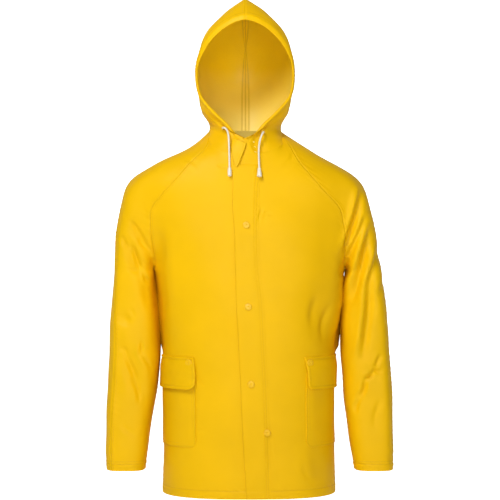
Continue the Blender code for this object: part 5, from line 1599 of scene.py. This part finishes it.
def turned(name, profile, sides, place, facing, material):
    """A turned piece: its profile of (radius, height) swept round its axis and set down on its place."""
    radius, height = np.array(profile, dtype=float).T
    radius = np.maximum(radius, 1e-5)
    turns = np.arange(sides) * 2 * math.pi / sides
    facing = unit(np.asarray(facing, dtype=float))
    across = unit(np.cross([0.0, 0.0, 1.0], facing) + [1e-9, 0.0, 0.0])
    up = np.cross(facing, across)
    rim = np.cos(turns)[:, None] * across + np.sin(turns)[:, None] * up
    vertices = place + rim[None] * radius[:, None, None] + facing * height[:, None, None]
    piece = new_piece(name, vertices.reshape(-1, 3), tube_quads(len(profile), sides), (material,), angle=40)
    return piece


def smooth_profile(corners):
    """A profile with its corners rounded: two rounds of corner cutting at a quarter and three quarters."""
    profile = np.array(corners, dtype=float)
    for _ in range(2):
        before, after = profile[:-1], profile[1:]
        cut = np.stack([before * 0.75 + after * 0.25, before * 0.25 + after * 0.75], axis=1).reshape(-1, 2)
        profile = np.concatenate([profile[:1], cut[1:-1], profile[-1:]])
    return profile


def build_snap(name, place, facing):
    """A snap's cap: a low dome with a rolled edge and a small dimple in its middle."""
    edge = ((0.0, 0.0), (0.9, 0.0), (1.0, 0.25), (1.0, 0.6))
    dome = ((0.86, 0.92), (0.55, 1.0), (0.3, 1.0), (0.2, 0.9))
    corners = [(SNAP_RADIUS * out, SNAP_HEIGHT * up) for out, up in edge + dome]
    corners += [(SNAP_RADIUS * 0.14, SNAP_HEIGHT - SNAP_DIMPLE), (0.0, SNAP_HEIGHT - SNAP_DIMPLE)]
    cap = smooth_profile(corners)
    piece = turned(name + "_cap", cap, 48, place, facing, yellow_plastic())
    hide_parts(name)


def build_snaps():
    """The six caps, where the solids have them."""
    flap_height = LAYER_GAP + FLAP + LAYER_GAP
    for number, spot in enumerate(FRONT_SNAPS, start=1):
        place = from_front(shoulder_distance, *spot)
        facing = normals(shoulder_distance, place)
        build_snap(f"snap_{number}", place + facing * flap_height, facing)
    for word, side in SIDES:
        points, outward = wide_front(side)
        col = POCKET_COLUMN if side > 0 else -1 - POCKET_COLUMN
        row = BODY_HEIGHTS.index(POCKET_FLAP_TOP)
        corner = points[row, col] + outward[row, col] * fold_rise(points[row, col])
        x, z = corner[0] + side * POCKET_SNAP_INSET[0], corner[2] - POCKET_SNAP_INSET[1]
        place = from_front(body_distance, x, z)
        facing = normals(body_distance, place)
        build_snap(f"pocket_snap_{word}", place + facing * (flap_height + POCKET_SNAP_SEAT), facing)


def cord_route(route):
    """Even points along a drawcord's end, by the smooth curve through its own places."""
    at = np.array(route)
    gone = walked(at[:, None], 0)[:, 0]
    even = np.linspace(0.0, gone[-1], CORD_POINTS)
    return np.stack([curve_through(gone, at[:, axis], even) for axis in range(3)], axis=-1)


def build_drawcord(word, route, is_bell):
    """A braided cord end: a tube whose surface is crossed by two sets of strands, and its moulded end."""
    smooth = cord_route(route)
    fine = spline(smooth[:, None], np.linspace(0, CORD_POINTS - 1, BRAID_RINGS))[:, 0]
    gone = walked(fine[:, None], 0)[:, 0]
    along = unit(np.gradient(fine, axis=0))
    side = unit(np.cross(along, [0.0, 1.0, 0.15]))
    up = np.cross(side, along)
    turns = np.arange(BRAID_SIDES) * 2 * math.pi / BRAID_SIDES
    twist = gone[:, None] * 2 * math.pi / BRAID_PITCH
    braid = np.sin(4 * turns[None, :] + twist) * np.sin(4 * turns[None, :] - twist)
    radius = CORD_DIAMETER / 2 * (1 - 0.05 + 0.07 * braid)
    ring = np.cos(turns)[None, :, None] * side[:, None] + np.sin(turns)[None, :, None] * up[:, None]
    ends = (fine[:1, None] + ring[:1] * 1e-5, fine[-1:, None] + ring[-1:] * 1e-5)
    vertices = np.concatenate([ends[0], fine[:, None] + ring * radius[..., None], ends[1]])
    faces = tube_quads(len(vertices), BRAID_SIDES)
    piece = new_piece(f"drawcord_{word}_braid", vertices.reshape(-1, 3), faces, (white_cord(),), angle=80)
    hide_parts(f"drawcord_{word}")
    foot = CORD_END_RADIUS * (1.3 if is_bell else 1.0)
    head = ((0.0, 0.0), (0.72, 0.0), (0.8, 0.06), (0.86, 0.2), (1.0, 0.45))
    tail = ((1.0, 0.88), (1.0, 0.97), (0.86, 1.0), (0.5, 0.985), (0.0, 0.985))
    corners = [
        (radius * out, CORD_END_LENGTH * low)
        for radius, shares in ((CORD_END_RADIUS, head), (foot, tail))
        for out, low in shares
    ]
    down = unit(smooth[-1] - smooth[-2])
    place, white = smooth[-1] + down * SEAM_GAP, "white_plastic"
    end = turned(f"cord_end_{word}_moulded", smooth_profile(corners), 40, place, down, white_plastic())
    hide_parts(f"cord_end_{word}")


def build_eyelet(word, hole):
    """An eyelet: a rolled ring round the cord's hole."""
    spot = from_front(hood_distance, *hole)
    facing = normals(hood_distance, spot)
    turns = np.linspace(0, 2 * math.pi, 13)
    middle, thick = (EYELET_RADIUS + EYELET_HOLE) / 2, (EYELET_RADIUS - EYELET_HOLE) / 2
    profile = np.column_stack([middle - thick * np.cos(turns), EYELET_HEIGHT * (0.5 + 0.5 * np.sin(turns))])
    place = spot + facing * (LAYER_GAP + CASING + LAYER_GAP)
    piece = turned(f"eyelet_{word}_ring", profile, 36, place, facing, yellow_plastic())
    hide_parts(f"eyelet_{word}")


# ---- finishes
Finish = namedtuple("Finish", "material nodes links shader place colour")


def new_finish(name, colour, roughness):
    """A material with its shader, and Object coordinates to read patterns by."""
    material = bpy.data.materials.new(name)
    material.use_nodes = True
    nodes, links = material.node_tree.nodes, material.node_tree.links
    shader = nodes["Principled BSDF"]
    shader.inputs["Base Color"].default_value = (*colour[:3], 1.0)
    shader.inputs["Roughness"].default_value = roughness
    place = nodes.new("ShaderNodeTexCoord").outputs["Object"]
    return Finish(material, nodes, links, shader, place, tuple(colour))


def new_node(finish, kind, link=None, **values):
    """A shader node with its plain values, by the sockets' names, and with one socket linked to."""
    node = finish.nodes.new(kind)
    for name, value in values.items():
        node.inputs[name.replace("_", " ")].default_value = value
    if link:
        finish.links.new(link[1], node.inputs[link[0]])
    return node


def feed(finish, name, socket):
    """One of the shader's inputs, fed by a socket."""
    finish.links.new(socket, finish.shader.inputs[name])


def noise(finish, scale, detail=2.0, roughness=0.5):
    """A noise read by Object coordinates, so many times a metre."""
    values = dict(Scale=scale, Detail=detail, Roughness=roughness)
    return new_node(finish, "ShaderNodeTexNoise", ("Vector", finish.place), **values).outputs["Fac"]


def ramp(finish, value, low, high, start, end):
    """A value spread from start to end as another goes from low to high."""
    limits = dict(From_Min=low, From_Max=high, To_Min=start, To_Max=end)
    return new_node(finish, "ShaderNodeMapRange", ("Value", value), **limits).outputs["Result"]


def along_axis(finish, axis):
    """A place's distance along one of the axes."""
    return new_node(finish, "ShaderNodeSeparateXYZ", ("Vector", finish.place)).outputs[axis]


def mixed(finish, share, first, second):
    """A colour between two by a share; either may be a colour or a socket."""
    mix = finish.nodes.new("ShaderNodeMix")
    mix.data_type = "RGBA"
    finish.links.new(share, mix.inputs["Factor"])
    for socket, colour in ((mix.inputs[6], first), (mix.inputs[7], second)):
        if isinstance(colour, bpy.types.NodeSocket):
            finish.links.new(colour, socket)
        else:
            socket.default_value = (*colour[:3], 1.0)
    return mix.outputs[2]


def bumped(finish, height, distance, strength):
    """Relief of a finish from a pattern's heights."""
    bump = new_node(finish, "ShaderNodeBump", ("Height", height), Distance=distance, Strength=strength)
    feed(finish, "Normal", bump.outputs["Normal"])


def deeper(finish, share):
    """The finish's colour made darker."""
    return [channel * share for channel in finish.colour[:3]]


def toned(finish, pattern, share):
    """The finish's colour, made darker where a pattern is high."""
    return mixed(finish, ramp(finish, pattern, 0.3, 0.7, 0.0, 1.0), finish.colour, deeper(finish, share))


def painted_seam_shade(finish, colour, most, share):
    """Painted shade: a colour that goes over to a darker one near a seam, by the distance kept at every
    point.
    """
    near = finish.nodes.new("ShaderNodeAttribute")
    near.attribute_name = "seam_distance"
    # painted shade standing in for the shadow in a seam's groove, beside stitch rows and under the edges of
    # layers
    seam_shade_share = ramp(finish, near.outputs["Fac"], 0.0, SEAM_SHADE_WIDTH, most, 0.0)
    return mixed(finish, seam_shade_share, colour, deeper(finish, share))


def one_noise(name, colour, roughness, scale, detail, share, relief):
    """A finish whose colour and relief follow one noise, and the noise."""
    finish = new_finish(name, colour, roughness)
    pattern = noise(finish, scale, detail)
    feed(finish, "Base Color", toned(finish, pattern, share))
    bumped(finish, pattern, *relief)
    return finish, pattern


@functools.cache
def coated_cloth():
    """Satin coating: a fine grain, slow changes of colour and gloss, and painted shade that deepens it along
    the seams.
    """
    cloth = bpy.context.scene.raincoat_cloth
    finish = new_finish("coated_cloth_fine", cloth.colour, cloth.roughness)
    slow = toned(finish, noise(finish, 7.0, 3.0), 0.93)
    # painted shade along seams, stitch rows, hems and the edges of layers
    feed(finish, "Base Color", painted_seam_shade(finish, slow, 0.27, 0.62))
    matt = (cloth.roughness - 0.05, cloth.roughness + 0.07)
    feed(finish, "Roughness", ramp(finish, noise(finish, 60.0, 3.0), 0.25, 0.75, *matt))
    finish.shader.inputs["Specular IOR Level"].default_value = 0.14
    bumped(finish, noise(finish, 900.0, 2.0, 0.6), 0.0004, 0.1)
    return finish.material


@functools.cache
def cloth_inside():
    """The cloth's back: paler and duller than the coating, with a fine weave, a painted pale highlight low in
    the hood and painted shade along its seams.
    """
    cloth = bpy.context.scene.raincoat_cloth
    finish = new_finish("cloth_inside_fine", cloth.inside_colour, 0.44)
    weave = noise(finish, 1400.0, 1.0)
    # painted highlight: the colour goes over to a pale one low in the hood, where light falls on the inside
    low = ramp(finish, along_axis(finish, "Z"), 0.05, 0.19, 0.65, 0.0)
    pale = mixed(finish, low, toned(finish, weave, 0.9), (1.0, 0.86, 0.3))
    # painted shade along the felled seam's lines
    feed(finish, "Base Color", painted_seam_shade(finish, pale, 0.75, 0.6))
    finish.shader.inputs["Specular IOR Level"].default_value = 0.35
    bumped(finish, weave, 0.0004, 0.15)
    return finish.material


@functools.cache
def thread():
    """Sewing thread: a little deeper than the cloth, matt, with the twist of its plies."""
    colour = bpy.context.scene.raincoat_stitching.colour
    return one_noise("sewing_thread", colour, 0.7, 2500.0, 1.0, 0.75, (0.0002, 0.3))[0].material


@functools.cache
def yellow_plastic():
    """Moulded snap caps and eyelets: smooth and glossier than the cloth, with faint flow marks."""
    colour = bpy.context.scene.raincoat_trim.snap_colour
    finish, marks = one_noise("moulded_yellow", colour, 0.34, 160.0, 2.0, 0.92, (0.0002, 0.08))
    feed(finish, "Roughness", ramp(finish, marks, 0.3, 0.7, 0.28, 0.42))
    return finish.material


@functools.cache
def white_plastic():
    """Moulded cord ends: a soft warm white with a slight skin."""
    colour = bpy.context.scene.raincoat_trim.cord_colour
    return one_noise("moulded_white", colour, 0.45, 220.0, 2.0, 0.93, (0.0002, 0.1))[0].material


@functools.cache
def white_cord():
    """Braided cord: matt fibres, darker between the strands."""
    colour = bpy.context.scene.raincoat_trim.cord_colour
    return one_noise("braided_white", colour, 0.85, 1800.0, 2.0, 0.88, (0.0003, 0.35))[0].material


def glowing(finish):
    """Lets a finish give off white light, as strong as the socket that this gives back says."""
    finish.shader.inputs["Emission Color"].default_value = (1.0, 1.0, 1.0, 1.0)
    return finish.shader.inputs["Emission Strength"]


@functools.cache
def pale_floor():
    """The studio's pale sweep, with a faint unevenness."""
    stage = bpy.context.scene.raincoat_stage
    finish = new_finish("pale_floor", stage.floor_colour, 0.9)
    feed(finish, "Base Color", toned(finish, noise(finish, 1.5, 2.0), 0.985))
    glow = ramp(finish, along_axis(finish, "Y"), 0.3, 1.0, stage.floor_glow, stage.backdrop_glow)
    finish.links.new(glow, glowing(finish))
    finish.shader.inputs["Specular IOR Level"].default_value = 0.0
    return finish.material


@functools.cache
def pale_wall():
    """The round wall's finish: as bright as the backdrop."""
    stage = bpy.context.scene.raincoat_stage
    finish = new_finish("pale_surround", stage.floor_colour, 0.9)
    glowing(finish).default_value = stage.backdrop_glow
    return finish.material


# ---- what a user would change
def colour_setting(name, description, default):
    """A colour that the user can change."""
    words = dict(name=name, description=description)
    return bpy.props.FloatVectorProperty(subtype="COLOR", size=3, default=default, **words)


def number_setting(name, description, default, **kind):
    """A number that the user can change."""
    return bpy.props.FloatProperty(name=name, description=description, default=default, **kind)


class RaincoatCloth(bpy.types.PropertyGroup):
    """The coated cloth."""

    colour: colour_setting("Colour", "Colour of the coating", (0.895, 0.53, 0.001))
    inside_colour: colour_setting("Inside colour", "Colour of the cloth's back", (1.0, 0.69, 0.008))
    thickness: number_setting("Thickness", "Thickness of one layer of cloth", 0.0012, unit="LENGTH")
    roughness: number_setting("Roughness", "How matt the coating is", 0.46, subtype="FACTOR")


class RaincoatStitching(bpy.types.PropertyGroup):
    """The thread stitches."""

    pitch: number_setting("Pitch", "Distance from stitch to stitch", 0.0034, unit="LENGTH")
    length: number_setting("Length", "Length of a stitch", 0.0026, unit="LENGTH")
    thread: number_setting("Thread", "Thickness of the thread", 0.0006, unit="LENGTH")
    colour: colour_setting("Thread colour", "Colour of the thread", (0.8, 0.43, 0.003))


class RaincoatTrim(bpy.types.PropertyGroup):
    """Snaps, eyelets and drawcord ends."""

    snap_colour: colour_setting("Snap colour", "Colour of snaps and eyelets", (0.92, 0.55, 0.004))
    cord_colour: colour_setting("Cord colour", "Colour of cords and their ends", (0.86, 0.84, 0.76))


class RaincoatStage(bpy.types.PropertyGroup):
    """Camera, floor and lights."""

    camera_distance: number_setting("Camera distance", "From camera to coat", 3.6, unit="LENGTH")
    view_height: number_setting("View height", "Height of what the camera takes in", 1.1, unit="LENGTH")
    floor_colour: colour_setting("Floor colour", "Colour of floor and backdrop", (0.92, 0.92, 0.92))
    floor_glow: number_setting("Floor glow", "Light that the floor below the coat gives off", 0.12)
    backdrop_glow: number_setting("Backdrop glow", "Light that the backdrop gives off", 0.95)
    key_power: number_setting("Key light", "Power of the key light", 39.0, unit="POWER")
    fill_power: number_setting("Fill light", "Power of the fill light", 15.0, unit="POWER")
    front_power: number_setting("Front light", "Power of the light beside the camera", 22.0, unit="POWER")


# ---- studio
CAMERA_X = 0.0066
CAMERA_HEIGHT = -0.22
LIGHT_AIM = (0.0, 0.0, -0.2)
FLOOR = -0.95
ROOM = 9.5  # half the sweep's width, and the round wall's radius
SWEEP_DEPTH = 5.2
SWEEP_RADIUS = 0.9
SWEEP_TOP = 7.6
WALL_HEIGHTS = (-0.96, 9.0)
WALL_SIDES = 48


def staged(name, vertices, faces, material, hidden):
    """A piece of the studio, hidden from some kinds of rays."""
    mesh = bpy.data.meshes.new(name)
    mesh.from_pydata(vertices, [], faces)
    mesh.materials.append(material)
    piece = bpy.data.objects.new(name, mesh)
    for ray in hidden:
        setattr(piece, "visible_" + ray, False)
    bpy.context.scene.collection.objects.link(piece)
    return piece


def build_surround():
    """A round wall that only the camera sees, for the views from the sides and from behind."""
    turn = np.linspace(0, 2 * math.pi, WALL_SIDES + 1)
    vertices = [(ROOM * math.cos(a), ROOM * math.sin(a), z) for z in WALL_HEIGHTS for a in turn]
    faces = [(i, i + 1, i + WALL_SIDES + 2, i + WALL_SIDES + 1) for i in range(WALL_SIDES)]
    staged("studio_surround", vertices, faces, pale_wall(), ("diffuse", "glossy", "transmission", "shadow"))


def build_sweep():
    """The floor runs back, turns up on a quarter circle and goes on as the backdrop."""
    turn = np.linspace(0, math.pi / 2, 17)
    y = np.concatenate([[-ROOM], SWEEP_DEPTH + SWEEP_RADIUS * np.sin(turn), [SWEEP_DEPTH + SWEEP_RADIUS]])
    z = np.concatenate([[FLOOR], FLOOR + SWEEP_RADIUS * (1 - np.cos(turn)), [SWEEP_TOP]])
    x = np.linspace(-ROOM, ROOM, 5)
    vertices = np.stack(np.broadcast_arrays(x[None, :], y[:, None], z[:, None]), axis=-1)
    index = np.arange(len(y) * len(x)).reshape(len(y), len(x))
    faces = grid_quads(index).tolist()
    sweep = staged("studio_sweep", vertices.reshape(-1, 3).tolist(), faces, pale_floor(), ("glossy",))
    sweep.data.shade_smooth()


def build_camera():
    """The camera looks level along +Y, with its focus everywhere."""
    scene = bpy.context.scene
    stage = scene.raincoat_stage
    data = bpy.data.cameras.new("camera")
    data.sensor_width = 36.0
    data.lens = data.sensor_width * stage.camera_distance / stage.view_height
    data.clip_end = 60.0
    camera = bpy.data.objects.new("camera", data)
    camera.location = (CAMERA_X, -stage.camera_distance, CAMERA_HEIGHT)
    camera.rotation_euler = (math.pi / 2, 0.0, 0.0)
    scene.collection.objects.link(camera)
    scene.camera = camera


def build_stage():
    """Camera, sweep, round wall, three soft lights and a dim warm world."""
    scene = bpy.context.scene
    stage = scene.raincoat_stage
    build_camera()
    build_sweep()
    build_surround()
    for name, place, power, size in (
        ("key_light", (-0.88, -1.8, 1.5), stage.key_power, 0.7),
        ("fill_light", (1.2, -3.1, 0.2), stage.fill_power, 1.2),
        ("front_light", (-0.2, -3.3, 0.4), stage.front_power, 1.1),
    ):
        light = bpy.data.lights.new(name, "AREA")
        light.energy, light.size = power, size
        light.color = (1.0, 0.97, 0.88)
        lamp = bpy.data.objects.new(name, light)
        lamp.location = place
        aim = np.array(LIGHT_AIM) - np.array(place)
        tilt = math.atan2(math.hypot(aim[0], aim[1]), -aim[2])
        lamp.rotation_euler = (tilt, 0.0, math.atan2(-aim[0], aim[1]))
        scene.collection.objects.link(lamp)
    world = bpy.data.worlds.new("studio")
    world.use_nodes = True
    background = world.node_tree.nodes["Background"]
    background.inputs["Color"].default_value = (1.0, 0.93, 0.75, 1.0)
    background.inputs["Strength"].default_value = 0.12
    scene.world = world
    scene.view_settings.view_transform = "Standard"


# ---- steps of the building
def build_drawcords():
    """The cord's two free ends, of which the left one has a bell, and the eyelets."""
    for (word, side), route in zip(SIDES, (LEFT_CORD, RIGHT_CORD)):
        build_drawcord(word, route, side > 0)
    for word, hole in (("left", LEFT_EYELET), ("right", RIGHT_EYELET)):
        build_eyelet(word, hole)


def build_fronts():
    for word, side in SIDES:
        cloth_panel("front_" + word, front(side))


def build_back():
    cloth_panel("back", back())


def build_sleeves():
    for word, side in SIDES:
        cloth_panel(f"sleeve_{word}_front", sleeve(side, False))
        cloth_panel(f"sleeve_{word}_back", sleeve(side, True))


def build_hood():
    """The halves, thicker beside the centre seam, where the cloth is felled, and their casings."""
    for word, side in SIDES:
        panel, seam, centre = hood(side)
        outer = meeting(panel.points, side)
        fell = 0.001 * ease((HOOD_FELL + 0.0005 - centre) / 0.0012)
        felled = bpy.context.scene.raincoat_cloth.thickness + fell
        inner = meeting(outer - panel.outward * felled[..., None], side)
        # painted shade on the inside along both lines of the felled seam
        inner_seam = np.minimum(np.abs(centre - HOOD_FELL), centre)
        sewn(wall(f"hood_{word}_cloth", outer, inner, seam, None, inner_seam), "hood_" + word)
        build_casing(word, side)


def build_flap_and_tab():
    build_storm_flap()
    build_throat_tab()


def build_pockets():
    for word, side in SIDES:
        build_pocket(word, side)


def build_stitching():
    """Three meshes of stitches: on the body, on the trim and on the sleeves."""
    lines = []
    for _, side in SIDES:
        lines.append(beside_edge(front(side)[0], -1 if side > 0 else 0, TOPSTITCH, 1))
        lines.append(beside_edge(front(side)[0], 0, HEM_DEPTH, 0))
    lines.append(beside_edge(back()[0], 0, HEM_DEPTH, 0))
    lines += [beside_edge(back()[0], edge, TOPSTITCH, 1) for edge in (0, -1)]
    build_stitches("body_stitches", lines)
    lines = [beside_edge(LAYERS["storm_flap"], -1, FLY_SELVEDGE + step, 1) for step in (0.0, FLAP_LINES)]
    inside = slice(12, -12)
    rows = [("pocket_", line) for line in POCKET_LINES] + [("pocket_flap_", POCKET_FLAP_LINE)]
    for word, _ in SIDES:
        for node, distance in rows:
            for axis in (0, 1):
                place, outward = beside_edge(LAYERS[node + word], 0, distance, axis)
                lines.append((place[inside], outward[inside]))
        lines.append(tuple(values[:, 3] for values in LAYERS["hood_casing_" + word]))
    for _, side in SIDES:
        lines.append(beside_edge(hood(side)[0], -1 if side > 0 else 0, TOPSTITCH, 1))
        lines.append(beside_edge(hood(side)[0], -1, TOPSTITCH, 0))
    build_stitches("trim_stitches", lines)
    lines = []
    for _, side in SIDES:
        for at_back in (False, True):
            panel = sleeve(side, at_back)[0]
            lines += [beside_edge(panel, 0, depth, 0) for depth in (CUFF_DEPTH, CUFF_DEPTH - CUFF_LINES)]
            if not at_back:
                lines.append(beside_edge(panel, -1 if side > 0 else 0, TOPSTITCH, 1))
    build_stitches("sleeve_stitches", lines)


# ---- operators and panel
def operator(name, label, description, build):
    """An operator that runs one step of the building."""

    def execute(self, context):
        build()
        return {"FINISHED"}

    members = {"__doc__": description, "bl_idname": "raincoat." + name, "bl_label": label, "execute": execute}
    return type("RAINCOAT_OT_" + name, (bpy.types.Operator,), members)


OPERATORS = (
    operator("stage", "Stage", "Set up the camera, the pale sweep and the soft lights", build_stage),
    operator("drawcords", "Drawcord ends", "Build the drawcord's ends and their eyelets", build_drawcords),
    operator("fronts", "Fronts", "Build the two fronts", build_fronts),
    operator("back", "Back", "Build the back", build_back),
    operator("sleeves", "Sleeves", "Build the two-piece raglan sleeves", build_sleeves),
    operator("hood", "Hood and casing", "Build the hood's halves and the drawcord casing", build_hood),
    operator("storm_flap", "Storm flap", "Build the storm flap and the throat's tab", build_flap_and_tab),
    operator("pockets", "Pockets", "Build the patch pockets and their flaps", build_pockets),
    operator("snaps", "Snaps", "Build the snaps' caps on the front and the pocket flaps", build_snaps),
    operator("stitching", "Stitching", "Sew the stitches along seams, hems and edges", build_stitching),
)


class RAINCOAT_PT_panel(bpy.types.Panel):
    """The raincoat's pieces, in the order they are built"""

    bl_idname = "RAINCOAT_PT_panel"
    bl_label = "Raincoat"
    bl_space_type = "VIEW_3D"
    bl_region_type = "UI"
    bl_category = "Raincoat"

    def draw(self, context):
        for name in ("cloth", "stitching", "trim", "stage"):
            group = getattr(context.scene, "raincoat_" + name)
            box = self.layout.box()
            for setting in group.__annotations__:
                box.prop(group, setting)
        for step in OPERATORS:
            self.layout.operator(step.bl_idname)


GROUPS = {
    "raincoat_cloth": RaincoatCloth,
    "raincoat_stitching": RaincoatStitching,
    "raincoat_trim": RaincoatTrim,
    "raincoat_stage": RaincoatStage,
}


def register():
    for name, group in GROUPS.items():
        bpy.utils.register_class(group)
        setattr(bpy.types.Scene, name, bpy.props.PointerProperty(type=group))
    for kind in (*OPERATORS, RAINCOAT_PT_panel):
        bpy.utils.register_class(kind)


def unregister():
    for kind in (RAINCOAT_PT_panel, *reversed(OPERATORS)):
        bpy.utils.unregister_class(kind)
    for name, group in reversed(GROUPS.items()):
        delattr(bpy.types.Scene, name)
        bpy.utils.unregister_class(group)


def main():
    register()
    for step in OPERATORS:
        getattr(bpy.ops.raincoat, step.bl_idname.split(".")[1])()


if __name__ == "__main__":
    main()
